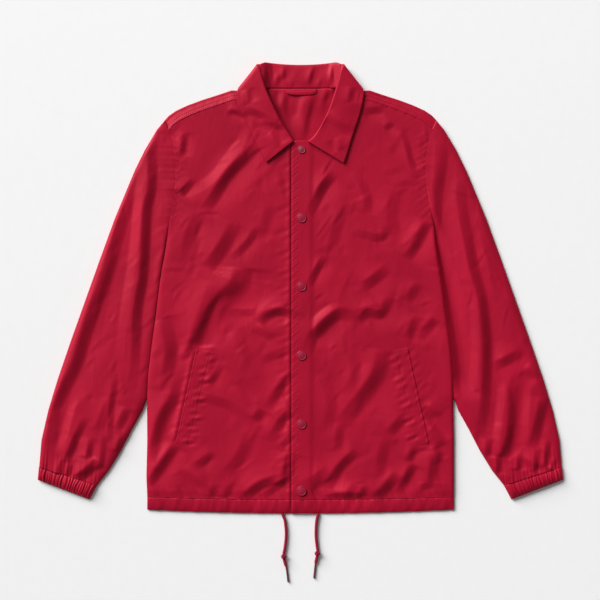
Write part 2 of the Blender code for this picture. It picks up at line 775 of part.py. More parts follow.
def make_welt(name, corners):
    """Welt stitched on a front, just above its cloth."""
    outer_top, inner_top, inner_end, outer_end = corners
    low = CLOTH + SEAM + BODY_LOFT + CLOTH + SEAM
    rows = []
    for step in range(WELT_STEPS + 1):
        share = 1.0 - step / WELT_STEPS
        outer = [a + share * (b - a) for a, b in zip(outer_top, outer_end)]
        inner = [a + share * (b - a) for a, b in zip(inner_top, inner_end)]
        row = [tuple(outer), tuple(inner)]
        rows.append(row if outer[0] < inner[0] else row[::-1])
    return slab(name, rows, [[low] * 2 for _ in rows], WELT_CLOTH)


def make_snap(name, up, radius):
    """Domed cap with a raised rim, on the placket."""
    seat = CLOTH + SEAM + BODY_LOFT + CLOTH + SEAM
    points = []
    for share, height in SNAP_PROFILE:
        for step in range(SNAP_SIDES):
            angle = 2 * math.pi * step / SNAP_SIDES
            x = SNAP_ACROSS + radius * share * math.cos(angle)
            y = up + radius * share * math.sin(angle)
            points.append((x, y, seat + height))
    crown = len(points)
    points.append((SNAP_ACROSS, up, seat + SNAP_CROWN))
    faces = [tuple(range(SNAP_SIDES - 1, -1, -1))]
    for j in range(len(SNAP_PROFILE) - 1):
        for i in range(SNAP_SIDES):
            a = j * SNAP_SIDES + i
            b = j * SNAP_SIDES + (i + 1) % SNAP_SIDES
            faces.append((a, b, b + SNAP_SIDES, a + SNAP_SIDES))
    last = (len(SNAP_PROFILE) - 1) * SNAP_SIDES
    faces += [(last + i, last + (i + 1) % SNAP_SIDES, crown) for i in range(SNAP_SIDES)]
    return new_object(name, points, faces, RED_CAP, 0.35)


def make_hanger_loop():
    """Flat loop at the back neck, lying on the back panel."""
    low = COLLAR_LIFT + CLOTH + SEAM
    rows = [[], []]
    for step in range(LOOP_STEPS + 1):
        x, y = along_line(LOOP_LINE, step / LOOP_STEPS)
        rows[0].append((x, y - LOOP_WIDTH / 2))
        rows[1].append((x, y + LOOP_WIDTH / 2))
    return slab("hanger_loop", rows, [[low] * (LOOP_STEPS + 1)] * 2, LOOP_CLOTH)


def make_cord(name, places, radii, colour):
    """Round cord through places in plan, lying on the table."""
    curve = bpy.data.curves.new(name, "CURVE")
    curve.dimensions = "3D"
    curve.bevel_depth = CORD_DIAMETER / 2 * MM
    curve.bevel_resolution = 2
    curve.use_fill_caps = True
    spline = curve.splines.new("POLY")
    spline.points.add(len(places) - 1)
    for point, (x, y), radius in zip(spline.points, places, radii):
        point.co = (x * MM, y * MM, CORD_UP * MM, 1.0)
        point.radius = radius
    curve.materials.append(new_material(name, colour, 0.7))
    made = bpy.data.objects.new(name, curve)
    bpy.context.scene.collection.objects.link(made)
    return made


def make_knot(name, start, end):
    """Overhand knot as one bead between the cord and its tip, turned along them."""
    place = (Vector(start) + Vector(end)) / 2
    along = (Vector(end) - Vector(start)).normalized()
    length = (Vector(end) - Vector(start)).length - 2 * KNOT_CLEAR
    across = Vector((along.y, -along.x))
    points = []
    for share, size in KNOT_PROFILE:
        for step in range(KNOT_SIDES):
            angle = 2 * math.pi * step / KNOT_SIDES
            flat = place + along * share * length + across * KNOT_RADIUS * size * math.cos(angle)
            up = KNOT_UP + KNOT_RADIUS * (1.0 + size * math.sin(angle))
            points.append((*flat, up))
    last = (len(KNOT_PROFILE) - 1) * KNOT_SIDES
    faces = [tuple(range(KNOT_SIDES)), tuple(range(last + KNOT_SIDES - 1, last - 1, -1))]
    for j in range(len(KNOT_PROFILE) - 1):
        for i in range(KNOT_SIDES):
            a = j * KNOT_SIDES + i
            b = j * KNOT_SIDES + (i + 1) % KNOT_SIDES
            faces.append((a, a + KNOT_SIDES, b + KNOT_SIDES, b))
    return new_object(name, points, faces, RED_CORD, 0.7)


def make_drawcords():
    for side, route, tip_route in DRAWCORDS:
        places = [along_line(route, step / CORD_STEPS) for step in range(CORD_STEPS + 1)]
        make_cord(f"cord_{side}", places, [1.0] * len(places), RED_CORD)
        make_knot(f"knot_{side}", route[-1], tip_route[0])
        last = len(TIP_SIZES) - 1
        places = [along_line(tip_route, step / last) for step in range(last + 1)]
        make_cord(f"tip_{side}", places, TIP_SIZES, DARK_TIP)


def main():
    for existing in list(bpy.data.objects):
        bpy.data.objects.remove(existing, do_unlink=True)
    make_back()
    make_front("front_left", -1, left_front_low)
    make_front("front_right", 1, front_low)
    make_sleeve("sleeve_left", -1)
    make_sleeve("sleeve_right", 1)
    make_cuff("cuff_left", -1)
    make_cuff("cuff_right", 1)
    make_collar()
    make_hanger_loop()
    make_welt("welt_left", WELT_LEFT)
    make_welt("welt_right", WELT_RIGHT)
    make_hems()
    for number, (up, radius) in enumerate(SNAP_ROWS, start=1):
        make_snap(f"snap_{number}", up, radius)
    make_drawcords()


main()
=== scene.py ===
"""Looks of a coach jacket laid flat: thin woven cloth with folds, seams, stitches, snaps and cords.

Plan sizes in the tables are in millimetres, in the jacket's own frame: X across, Y towards the
collar, Z up. "Left" lies towards -X, as seen from above with the collar at the top.
"""

from __future__ import annotations

import logging
import math
from collections.abc import Sequence
from dataclasses import dataclass
from enum import Enum
from functools import cached_property
from typing import Any

import bmesh
import bpy
import numpy as np
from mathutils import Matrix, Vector


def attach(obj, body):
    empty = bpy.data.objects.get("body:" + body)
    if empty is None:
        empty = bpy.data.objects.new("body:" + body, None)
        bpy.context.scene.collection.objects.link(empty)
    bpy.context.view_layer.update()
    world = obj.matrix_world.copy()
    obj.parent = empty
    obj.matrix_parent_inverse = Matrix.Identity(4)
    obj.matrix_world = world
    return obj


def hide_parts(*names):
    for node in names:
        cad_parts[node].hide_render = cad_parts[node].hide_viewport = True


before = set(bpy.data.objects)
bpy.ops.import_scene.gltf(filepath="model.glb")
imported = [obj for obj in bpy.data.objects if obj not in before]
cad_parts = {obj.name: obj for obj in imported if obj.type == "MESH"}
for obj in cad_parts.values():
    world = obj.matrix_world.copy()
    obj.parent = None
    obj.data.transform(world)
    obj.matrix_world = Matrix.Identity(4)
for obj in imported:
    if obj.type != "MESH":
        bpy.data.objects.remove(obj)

log = logging.getLogger("coach_jacket")

MM = 0.001
PER_METRE = 1000.0
# Scale of a wave texture that draws two threads, one over and one under, in each two metres
WAVE_SCALE = math.pi / 20.0

# Main sizes in plan, in millimetres
HEM_UP = -366.0  # Ends of the side seams
HEM_HALF = 268.0  # Hem seam's half width
HEM_BOW = 5.0  # How far the hem seam bows down in the middle
CASING_HEIGHT = 23.0
HEAD_UP = 292.0  # Sleeve head
PIT_UP = 105.0  # Armpit
PLACKET_X = -16.0  # Edge of the right front's placket
FACING_X = 24.0  # Where its folded facing ends
FRONT_UP = 276.0  # Front's shoulder corner
COLUMN_END = 230.0  # Last column of a front or of the back, at its top
FOLD_START = 74.0  # Shoulder fold's ends, as distances from the middle
FOLD_END = 238.0
FOLD_UP = 345.5  # Its height at the neck
SEAM_DROP = 16.0  # How far the forward shoulder seam lies below the fold at its outer end
SECTION_STEP = 43.0  # Distance between the last sections of a sleeve
CUFF_WIDTH = 106.0
WELT_WIDTH = 24.0
WELT_LENGTH = 168.0

Plan = tuple[float, float]
FoldRow = tuple[tuple[Plan, ...], float, float, float]


class Side(Enum):
    """A side of the jacket, as the sign of its X."""

    LEFT = -1
    RIGHT = 1

    @property
    def word(self) -> str:
        """Lower-case name of the side."""
        return self.name.lower()


# Armhole and side seam: height up the jacket, distance of the left and the right edge from the middle
SIDE_TABLE = (
    (-366.0, 268.0, 268.5), (-330.0, 269.5, 268.5), (-266.0, 268.0, 268.5), (-191.0, 268.5, 267.0),
    (-151.0, 266.5, 266.0), (-111.0, 261.5, 263.0), (-46.0, 253.0, 254.5), (26.0, 244.0, 244.5),
    (66.0, 237.0, 238.0), (105.0, 231.0, 233.0), (131.0, 227.0, 227.5), (159.0, 222.0, 223.0),
    (185.0, 218.5, 219.0), (220.0, 220.0, 218.0), (248.0, 222.5, 221.5), (276.0, 230.0, 230.0),
    (292.0, 238.0, 238.0),
)
# Shoulder fold: distance from the middle, height up
SHOULDER_TABLE = (
    (74.0, 345.5), (105.0, 344.5), (121.0, 345.0), (145.0, 337.0), (173.0, 328.0), (196.0, 319.5),
    (217.0, 310.0), (230.0, 301.0), (238.0, 292.0),
)
# Top of each front from the placket to the end of the neck seam: distance from the middle, height up
TOP_LEFT_TABLE = (
    (-16.0, 257.0), (9.0, 257.0), (11.5, 255.2), (18.0, 251.5), (31.0, 260.0), (45.0, 280.0), (62.0, 311.0),
    (72.0, 330.0),
)
TOP_RIGHT_TABLE = ((-16.0, 251.0), (-8.0, 257.0)) + TOP_LEFT_TABLE[1:]
# Sleeve outline beyond the shoulder: height up, distance from the middle
SLEEVE_OUTER_TABLE = (
    (-314.0, 457.0), (-266.0, 453.0), (-214.0, 441.0), (-161.0, 425.0), (-91.0, 401.0), (-21.0, 376.0),
    (49.0, 351.0), (119.0, 325.5), (171.0, 304.5), (206.0, 290.5), (241.0, 274.0), (276.0, 254.0),
    (293.0, 240.0),
)
# Free inner edge of a sleeve below the body: height up, distance from the middle
SLEEVE_INNER_TABLE = (
    (-346.0, 356.0), (-319.0, 334.5), (-284.0, 313.0), (-249.0, 295.0), (-214.0, 275.5), (-196.0, 269.5),
)
# Sections of a sleeve: height of the outer and the inner end, share of the armhole curve, loft
SLEEVE_SECTIONS = (
    (292.0, 105.0, 1.0, 0.0), (262.0, 86.0, 0.7, 0.6), (225.0, 66.0, 0.4, 1.0), (180.0, 26.0, 0.15, 1.0),
    (130.0, -10.0, 0.0, 1.0), (80.0, -46.0, 0.0, 1.0), (30.0, -79.0, 0.0, 1.0), (-20.0, -111.0, 0.0, 1.0),
    (-75.0, -151.0, 0.0, 1.0), (-130.0, -191.0, 0.0, 1.0), (-180.0, -232.0, 0.0, 1.0),
    (-228.0, -270.0, 0.0, 1.0), (-272.0, -310.0, 0.0, 1.0), (-313.75, -345.98, 0.0, 1.0),
)
# Cuff corners for the right sleeve: across, up
CUFF_CORNERS = ((457.5, -314.0), (356.0, -346.3), (459.6, -335.5), (368.5, -370.0))

# Collar stations from a front end to the back: neck seam, roll and edge, each across and up,
# then the lean of the leaf from the stand in degrees: 90 is above it, 0 beside it, -90 below it
COLLAR_BACK = (
    ((72.3, 348.5), (71.4, 386.0), (106.0, 350.5), 0.0),
    ((69.0, 348.5), (69.5, 389.5), (100.0, 346.0), -65.0),
    ((61.0, 348.0), (65.5, 391.8), (88.0, 338.5), -90.0),
    ((49.0, 347.9), (58.0, 392.9), (66.0, 332.0), -90.0),
    ((26.0, 347.9), (28.0, 390.2), (30.0, 329.5), -90.0),
)
COLLAR_LEFT = (
    ((18.0, 252.2), (12.6, 255.4), (60.4, 218.3), 90.0),
    ((29.5, 261.0), (19.5, 267.0), (72.0, 242.0), 90.0),
    ((44.5, 281.4), (33.5, 290.0), (84.0, 266.0), 90.0),
    ((61.3, 311.6), (48.0, 318.0), (98.0, 297.0), 90.0),
    ((70.8, 330.8), (59.0, 342.0), (108.5, 318.0), 90.0),
    ((71.9, 339.0), (66.0, 363.0), (111.0, 336.0), 90.0),
    ((72.6, 345.0), (70.0, 380.0), (109.5, 344.5), 65.0),
) + COLLAR_BACK
COLLAR_RIGHT = (
    ((18.0, 252.2), (12.6, 255.4), (76.1, 216.9), 90.0),
    ((30.2, 260.6), (22.5, 263.5), (83.0, 238.0), 90.0),
    ((44.5, 281.4), (36.5, 283.5), (90.0, 262.0), 90.0),
    ((61.3, 311.6), (50.5, 313.5), (99.5, 290.0), 90.0),
    ((70.8, 330.8), (59.5, 340.0), (107.0, 316.0), 90.0),
    ((71.9, 339.0), (65.5, 361.0), (110.5, 336.0), 90.0),
    ((72.6, 345.0), (69.5, 379.0), (109.5, 344.5), 65.0),
) + COLLAR_BACK
COLLAR_MIDDLE = ((0.0, 347.9), (0.0, 389.3), (0.0, 329.5), -90.0)

# Welt pockets: corners across and up, outer top, inner top, inner end, outer end
WELT_LEFT = ((-182.0, -107.0), (-157.7, -111.0), (-198.6, -278.0), (-218.4, -272.0))
WELT_RIGHT = ((187.0, -104.0), (162.0, -110.0), (200.0, -275.5), (224.2, -272.0))

# Snaps: height up, cap radius
SNAP_TABLE = ((240.9, 6.8), (121.9, 8.5), (2.4, 8.5), (-118.2, 8.5), (-238.1, 8.5), (-354.6, 8.5))

# Profile of a snap cap: share of the radius, height above its seat
SNAP_PROFILE = (
    (0.93, -0.1), (0.985, 0.25), (1.0, 0.75), (0.985, 1.2), (0.94, 1.55), (0.88, 1.66), (0.82, 1.55),
    (0.775, 1.38), (0.73, 1.42), (0.62, 1.72), (0.45, 2.02), (0.25, 2.22), (0.08, 2.29), (0.0, 2.3),
)

# Routes of the cords from the hem edge to the knot, and of the tips beyond it: across, up
CORD_LEFT = (
    (-31.5, -395.1), (-29.6, -400.6), (-27.1, -407.5), (-25.2, -425.5), (-25.6, -440.6), (-27.7, -456.7),
    (-29.4, -464.4),
)
TIP_LEFT = ((-29.0, -473.4), (-26.5, -483.0), (-24.2, -491.9), (-21.4, -514.8))
CORD_RIGHT = (
    (31.3, -395.1), (29.7, -400.3), (28.2, -407.0), (27.1, -420.4), (27.1, -435.5), (28.7, -450.5),
    (30.0, -458.9),
)
TIP_RIGHT = ((29.3, -468.2), (27.1, -478.0), (25.7, -487.9), (23.6, -508.0))

# Creases of each panel: line that faces away from the window, across and up; half width; depth,
# below zero where the line faces the window; share of the line at which it is deepest
CHEST_LEFT: tuple[FoldRow, ...] = (
    (((-74, 248), (-99, 224), (-120, 203), (-137, 180), (-151, 157), (-167, 134)), 9.8, 4.6, 0.40),
    (((-88, 287), (-102, 260), (-125, 227), (-148, 197), (-176, 176), (-209, 162)), 9.8, -1.1, 0.50),
    (((-127, 308), (-113, 306), (-95, 295)), 4.4, 1.6, 0.50),
    (((-202, 271), (-204, 250), (-206, 229)), 5.5, 2.0, 0.50), (((-186, 189), (-209, 162)), 6.6, 2.2, 0.70),
    (((-113, 113), (-127, 84), (-144, 57), (-165, 31)), 12.0, 2.8, 0.50),
    (((-73, 108), (-92, 78), (-122, 49)), 6.6, 1.6, 0.50), (((-38, 201), (-18, 141)), 6.6, 1.0, 0.50),
    (((-176, 129), (-193, 91), (-200, 45)), 10.9, 1.6, 0.40), (((-50, 145), (-67, 91)), 8.8, 1.0, 0.50),
)
BELLY_LEFT: tuple[FoldRow, ...] = (
    (((-101, 35), (-106, 5), (-134, -23), (-158, -60), (-171, -100)), 18.5, 6.4, 0.40),
    (((-148, 7), (-169, -53), (-185, -100), (-200, -130)), 12.5, 4.6, 0.50),
    (((-206, -130), (-218, -188), (-239, -226), (-253, -270), (-265, -308)), 11.0, 4.6, 0.50),
    (((-123, -14), (-148, -42), (-157, -112)), 7.7, -1.8, 0.50),
    (((-134, -41), (-106, -44), (-76, -42)), 6.6, 1.7, 0.50),
    (((-71, -63), (-57, -48), (-36, -42), (-15, -46), (8, -53)), 7.7, 3.8, 0.35),
    (((-81, -69), (-50, -90)), 6.6, 1.4, 0.50), (((-71, -128), (-15, -107)), 7.7, 1.1, 0.50),
    (((-13, -146), (-31, -170), (-45, -191), (-60, -214)), 7.7, 2.4, 0.30),
    (((-64, -212), (-80, -233)), 8.8, 2.0, 0.50), (((-13, -219), (-31, -231), (-53, -270)), 8.8, 3.0, 0.20),
    (((-13, -256), (-34, -279)), 6.6, 1.8, 0.20),
    (((-15, -289), (-22, -322), (-34, -349)), 10.9, 4.2, 0.40),
    (((-36, -331), (-78, -350), (-102, -375)), 8.8, 3.4, 0.40),
    (((-17, -331), (-45, -350), (-71, -370)), 6.6, 2.4, 0.30),
    (((-206, -315), (-185, -336), (-155, -359)), 7.7, 2.0, 0.50),
    (((-216, -273), (-234, -301), (-267, -347)), 8.8, 4.2, 0.50),
    (((-146, -114), (-164, -149)), 6.6, 1.8, 0.50), (((-136, -132), (-162, -174)), 6.6, 1.6, 0.50),
    (((-179, -191), (-127, -205), (-85, -242)), 8.8, 1.5, 0.50),
    (((-115, -168), (-83, -202)), 6.6, 1.3, 0.50), (((-151, -289), (-185, -314)), 7.7, 1.8, 0.50),
    (((-239, -53), (-225, -109), (-239, -182)), 12.0, 3.4, 0.50),
    (((-148, -343), (-155, -366)), 6.6, 1.5, 0.90), (((-123, -340), (-129, -366)), 6.6, 1.4, 0.90),
    (((-85, -252), (-106, -298), (-130, -326)), 10.9, 1.8, 0.50),
    (((-113, -74), (-95, -112), (-67, -154)), 9.8, 1.4, 0.40),
    (((-207, -371), (-218, -347)), 5.5, 1.3, 0.20),
)
CHEST_RIGHT: tuple[FoldRow, ...] = (
    (((59, 197), (43, 180), (31, 159), (13, 122)), 8.8, 3.6, 0.40),
    (((97, 206), (118, 157), (115, 129)), 7.7, 1.4, 0.50),
    (((92, 99), (139, 87), (155, 112)), 7.7, 1.4, 0.50), (((111, 308), (146, 311)), 6.6, 1.5, 0.50),
    (((146, 276), (162, 288)), 5.5, 1.2, 0.50),
    (((178, 276), (186, 250), (193, 224), (204, 194)), 5.5, 1.7, 0.50),
    (((223, 115), (202, 75), (185, 49)), 8.8, 3.4, 0.30), (((43, 56), (27, 28), (13, 0)), 6.6, 2.4, 0.50),
    (((153, 35), (129, 14), (108, 0)), 9.8, 2.4, 0.50), (((207, 8), (186, -25)), 8.8, 1.8, 0.50),
    (((171, 175), (160, 126), (171, 77)), 10.9, 1.4, 0.50),
    (((80, 147), (62, 98), (55, 59)), 9.8, 1.2, 0.50),
)
BELLY_RIGHT: tuple[FoldRow, ...] = (
    (((157, -16), (141, -46), (118, -44), (102, -60)), 8.8, 3.6, 0.50),
    (((99, -53), (69, -46), (50, -58), (32, -76), (20, -88), (13, -118)), 10.9, 4.6, 0.50),
    (((62, -30), (38, -46), (15, -69)), 7.7, -1.8, 0.50), (((207, -49), (186, -91)), 8.8, 2.0, 0.50),
    (((237, -53), (207, -91)), 8.8, 2.2, 0.40),
    (((146, -109), (139, -144), (125, -170), (106, -195), (69, -242)), 14.2, 4.8, 0.50),
    (((71, -237), (64, -287)), 7.7, 1.6, 0.50), (((101, -284), (69, -315), (46, -352)), 8.8, 3.2, 0.50),
    (((52, -319), (24, -340), (1, -350)), 13.1, 3.0, 0.50),
    (((38, -370), (78, -363), (136, -368)), 6.6, 2.4, 0.50), (((97, -342), (81, -370)), 7.7, 2.4, 0.80),
    (((116, -345), (99, -371)), 6.6, 2.4, 0.80), (((172, -324), (132, -370)), 9.8, 3.8, 0.50),
    (((200, -307), (169, -361)), 7.7, 3.4, 0.50), (((202, -275), (188, -305)), 6.6, 2.0, 0.50),
    (((183, -224), (155, -256)), 8.8, 2.0, 0.50), (((216, -207), (241, -228)), 6.6, 2.2, 0.30),
    (((220, -228), (255, -268)), 6.6, 2.6, 0.30), (((232, -272), (249, -301)), 6.6, 2.2, 0.50),
    (((237, -287), (230, -340)), 9.8, 2.6, 0.50), (((150, -263), (136, -333)), 9.8, 1.8, 0.50),
    (((207, -350), (232, -343)), 6.6, 1.6, 0.50), (((85, -100), (97, -147), (80, -188)), 9.8, 1.4, 0.50),
    (((38, -147), (55, -200), (45, -252)), 9.8, 1.3, 0.50),
)
SLEEVE_LEFT_FOLDS: tuple[FoldRow, ...] = (
    (
        (
            (-248, 287), (-258, 241), (-258, 180), (-267, 136), (-270, 84), (-274, 22), (-284, -39),
            (-286, -74), (-288, -126), (-295, -186),
        ),
        8.8, 4.0, 0.45,
    ),
    (((-270, 224), (-281, 171), (-291, 66), (-304, -21), (-318, -130)), 8.8, -1.8, 0.50),
    (
        (
            (-297, 168), (-312, 110), (-340, 14), (-360, -39), (-377, -91), (-391, -135), (-421, -196),
            (-431, -223), (-435, -314),
        ),
        10.9, 4.0, 0.50,
    ),
    (((-393, -184), (-421, -287)), 7.7, -1.6, 0.50),
    (((-323, -158), (-330, -214), (-332, -270)), 5.5, 1.8, 0.50),
    (((-374, -226), (-393, -266), (-409, -307)), 6.6, 2.6, 0.70),
    (((-365, -263), (-370, -298)), 5.5, 2.2, 0.80), (((-414, -298), (-421, -331)), 5.5, 2.4, 0.80),
    (((-398, -298), (-407, -331)), 5.5, 2.4, 0.80),
    (((-353, -303), (-372, -321), (-396, -338)), 8.8, 4.0, 0.50),
    (((-302, -210), (-318, -249)), 7.7, 2.4, 0.50), (((-228, 288), (-237, 269)), 4.4, 1.8, 0.40),
    (((-230, 271), (-239, 252)), 4.4, 1.6, 0.40),
    (((-342, -259), (-346, -298), (-351, -319)), 5.5, 2.0, 0.80),
    (((-311, -259), (-318, -287)), 5.5, 1.8, 0.80),
    (((-319, 66), (-344, -21), (-358, -109)), 8.8, 1.2, 0.50),
    (((-330, -193), (-354, -252)), 8.8, 1.6, 0.50),
)
SLEEVE_RIGHT_FOLDS: tuple[FoldRow, ...] = (
    (
        (
            (237, 290), (246, 250), (244, 206), (237, 154), (237, 101), (244, 57), (253, 14), (258, -39),
            (265, -109), (272, -203),
        ),
        12.0, 5.0, 0.45,
    ),
    (
        (
            (283, 189), (281, 154), (293, 84), (304, 31), (318, -21), (325, -91), (325, -161), (321, -214),
            (312, -256),
        ),
        9.8, 4.2, 0.55,
    ),
    (((300, -32), (305, -109), (298, -182)), 7.7, -1.6, 0.50),
    (((339, -137), (363, -126), (388, -111)), 8.8, 2.4, 0.40), (((388, -142), (414, -160)), 7.7, 2.0, 0.40),
    (((372, -167), (368, -249), (354, -298)), 9.8, 4.2, 0.70),
    (((365, -237), (358, -296)), 13.1, 2.4, 0.50),
    (((426, -193), (419, -223), (405, -280)), 9.8, 3.8, 0.50), (((375, -291), (409, -317)), 6.6, 2.2, 0.50),
    (((330, -263), (326, -296)), 6.6, 2.2, 0.70), (((433, -263), (428, -314)), 5.5, 2.4, 0.80),
    (((414, -280), (410, -322)), 5.5, 2.2, 0.80), (((444, -298), (440, -319)), 4.4, 1.8, 0.70),
    (((353, -158), (339, -296)), 7.7, -1.6, 0.50), (((396, -158), (389, -270)), 7.7, -1.4, 0.50),
    (((307, -249), (304, -280)), 5.5, 1.6, 0.70), (((347, -287), (344, -326)), 5.5, 2.2, 0.80),
    (((384, -280), (382, -319)), 5.5, 2.2, 0.80), (((314, 127), (335, 45), (349, -21)), 9.8, 1.3, 0.50),
    (((228, 280), (221, 250), (218, 215), (220, 171), (227, 141)), 5.5, 0.9, 0.50),
)
COLLAR_FOLDS: tuple[FoldRow, ...] = (
    (((45, 301), (62, 285), (90, 269)), 8.8, 1.4, 0.50), (((57, 259), (66, 238)), 5.5, -0.8, 0.50),
    (((-97, 311), (-67, 299), (-43, 283)), 6.6, 1.3, 0.50), (((-78, 287), (-25, 278)), 5.5, 1.0, 0.50),
    (((-92, 346), (-85, 322)), 5.5, 0.9, 0.50), (((90, 350), (87, 322)), 5.5, 0.9, 0.50),
    (((-50, 273), (-34, 248)), 5.5, 0.8, 0.50),
)
# Soft creases on the underside of the back panel, which the table presses nearly flat
BACK_FOLDS: tuple[FoldRow, ...] = (
    (((-180, 250), (-120, 160), (-90, 60)), 14.0, 0.8, 0.40),
    (((150, 260), (110, 190), (120, 90)), 13.0, 0.7, 0.60),
    (((-200, 20), (-150, -60), (-160, -150)), 15.0, 0.9, 0.50),
    (((-60, -40), (-20, -120), (-50, -210)), 12.0, 0.7, 0.35),
    (((180, 30), (140, -70), (170, -180)), 14.0, 0.8, 0.55),
    (((60, 60), (90, -30), (70, -130)), 11.0, 0.6, 0.50),
    (((-120, -250), (-60, -300), (20, -330)), 12.0, 0.8, 0.45),
    (((90, -240), (150, -290), (210, -330)), 13.0, 0.8, 0.50),
)
# Seams that draw the cloth up beside them: line, reach to each side, height of a pucker, spacing,
# and how far a pucker leans along the seam for each millimetre across it
PUCKER_SEAMS = (
    (((-10, 252), (-10, 120), (-10, 0), (-10, -120), (-10, -240), (-10, -366)), 6.0, 0.3, 7.0, 0.8),
    (((-30, 240), (-30, 120), (-30, 0), (-30, -120), (-30, -240), (-30, -366)), 12.0, 0.45, 21.0, 0.5),
    (((-213, 276), (-211, 220), (-210, 185), (-214, 150), (-222, 108)), 9.0, 0.7, 12.0, -0.7),
    (((213, 276), (211, 220), (210, 185), (214, 150), (222, 108)), 8.0, 0.5, 12.0, 0.7),
    (((-268, -366), (-200, -368), (-100, -371), (-17, -371)), 16.0, 1.0, 13.0, 0.5),
    (((-16, -371), (60, -371), (140, -370), (268, -366)), 16.0, 1.0, 12.0, 0.6),
    (((-76, 331), (-120, 330), (-170, 313), (-218, 292)), 7.0, 0.5, 9.0, 0.3),
    (((76, 331), (120, 330), (170, 313), (218, 292)), 7.0, 0.5, 8.0, -0.3),
    (((-157, -109), (-177, -195), (-198, -280)), 10.0, 1.0, 19.0, 0.4),
    (((-186, -105), (-204, -190), (-223, -274)), 9.0, 0.35, 21.0, 0.6),
    (((161, -108), (181, -192), (199, -278)), 9.0, 1.0, 18.0, 0.4),
    (((190, -102), (208, -188), (228, -274)), 9.0, 0.6, 16.0, 0.7),
)
# Creases of the back where it shows in the neck opening, and of the collar's stand above it
NECK_FOLDS: tuple[FoldRow, ...] = (
    (((-22, 342), (-26, 315), (-20, 282)), 6.0, 2.2, 0.40),
    (((24, 338), (14, 300), (11, 268)), 6.5, 2.6, 0.50), (((50, 344), (40, 322)), 4.0, 1.8, 0.30),
    (((-46, 344), (-43, 318)), 4.0, 1.8, 0.30), (((2, 338), (-2, 296)), 7.0, -1.4, 0.50),
)
STAND_FOLDS: tuple[FoldRow, ...] = (
    (((-24, 389), (-30, 362)), 4.4, 1.9, 0.40), (((-36, 372), (-42, 350)), 4.0, 1.4, 0.60),
    (((26, 389), (15, 352)), 4.4, 2.0, 0.40), (((56, 391), (58, 352)), 4.4, 2.4, 0.50),
    (((-60, 391), (-58, 350)), 5.0, 2.4, 0.50), (((36, 362), (33, 349)), 2.6, 0.9, 0.50),
    (((-12, 360), (-15, 349)), 2.6, 0.8, 0.50),
)


def linear(colour: str) -> tuple[float, float, float, float]:
    """Turns an sRGB hex colour to linear.

    Args:
        colour: six hex digits after a hash.

    Returns:
        Red, green, blue and alpha, for a shader's socket.
    """
    parts = [int(colour[at : at + 2], 16) / 255.0 for at in (1, 3, 5)]
    low = [part / 12.92 if part <= 0.04045 else ((part + 0.055) / 1.055) ** 2.4 for part in parts]
    return (low[0], low[1], low[2], 1.0)


def soft_step(value: np.ndarray | float) -> np.ndarray:
    """Rises smoothly from 0 to 1 as the value does."""
    held = np.clip(value, 0.0, 1.0)
    return held * held * (3.0 - 2.0 * held)


def rounded(inset: Any, radius: Any) -> np.ndarray:
    """Rises from 0 at an edge to 1 at this radius inside it, as a quarter of a circle does."""
    return np.sqrt(np.clip(1.0 - (1.0 - np.clip(inset / radius, 0.0, 1.0)) ** 2, 0.0, 1.0))


def levelled(folds: np.ndarray, most: float, least: float) -> tuple[np.ndarray, np.ndarray]:
    """Rises and hollows of folds, which level off at these heights and depths."""
    rises = most * np.tanh(np.maximum(folds, 0.0) / most)
    return rises, least * np.tanh(np.minimum(folds, 0.0) / least)


def by_sleeve(up: np.ndarray) -> np.ndarray:
    """1 where a sleeve lies beside the body, fading to 0 further down."""
    return soft_step((up + 215.0) / 30.0)


def unit(runs: np.ndarray) -> np.ndarray:
    """The same directions with a length of 1."""
    return runs / np.linalg.norm(runs, axis=-1, keepdims=True)


def run_along(line: np.ndarray) -> np.ndarray:
    """Length of a line from its start to each of its points."""
    return np.concatenate([[0.0], np.cumsum(np.linalg.norm(np.diff(line, axis=0), axis=1))])


def smooth_line(points: Sequence[Sequence[float]], count: int) -> np.ndarray:
    """Places evenly shared along a smooth curve through the points.

    Args:
        points: the places that the curve passes through, two or more.
        count: how many places to return.

    Returns:
        An array with a row for each place.
    """
    fixed = np.asarray(points, float)
    last = len(fixed) - 1
    place = np.minimum(np.linspace(0.0, last, count), last - 1e-9)
    index = place.astype(int)
    part = (place - index).reshape((-1,) + (1,) * (fixed.ndim - 1))
    a = fixed[np.maximum(index - 1, 0)]
    b = fixed[index]
    c = fixed[index + 1]
    d = fixed[np.minimum(index + 2, last)]
    bend = 2 * a - 5 * b + 4 * c - d
    twist = 3 * b - a - 3 * c + d
    return 0.5 * (2 * b + (c - a) * part + bend * part**2 + twist * part**3)


def even_line(points: Sequence[Sequence[float]], spacing: float) -> np.ndarray:
    """Places a fixed distance apart along a smooth curve through the points."""
    fine = smooth_line(points, 16 * len(points))
    run = run_along(fine)
    at = np.linspace(0.0, run[-1], max(3, round(run[-1] / spacing) + 1))
    return np.stack([np.interp(at, run, fine[:, axis]) for axis in range(fine.shape[1])], axis=1)


def add_node(tree: bpy.types.NodeTree, kind: str, inputs: dict | None = None, **settings: Any) -> Any:
    """Adds a node with its settings and links.

    Args:
        tree: the shader or geometry tree to add to.
        kind: the node's type name.
        inputs: socket name or number to a value, or to the socket that feeds it.
        **settings: attributes of the node itself.

    Returns:
        The new node.
    """
    node = tree.nodes.new(kind)
    for name, value in settings.items():
        setattr(node, name, value)
    for name, value in (inputs or {}).items():
        if isinstance(value, bpy.types.NodeSocket):
            tree.links.new(value, node.inputs[name])
        else:
            node.inputs[name].default_value = value
    return node


def link_object(name: str, data: Any) -> bpy.types.Object:
    """Puts a new object with this data in the scene."""
    made = bpy.data.objects.new(name, data)
    bpy.context.scene.collection.objects.link(made)
    return made


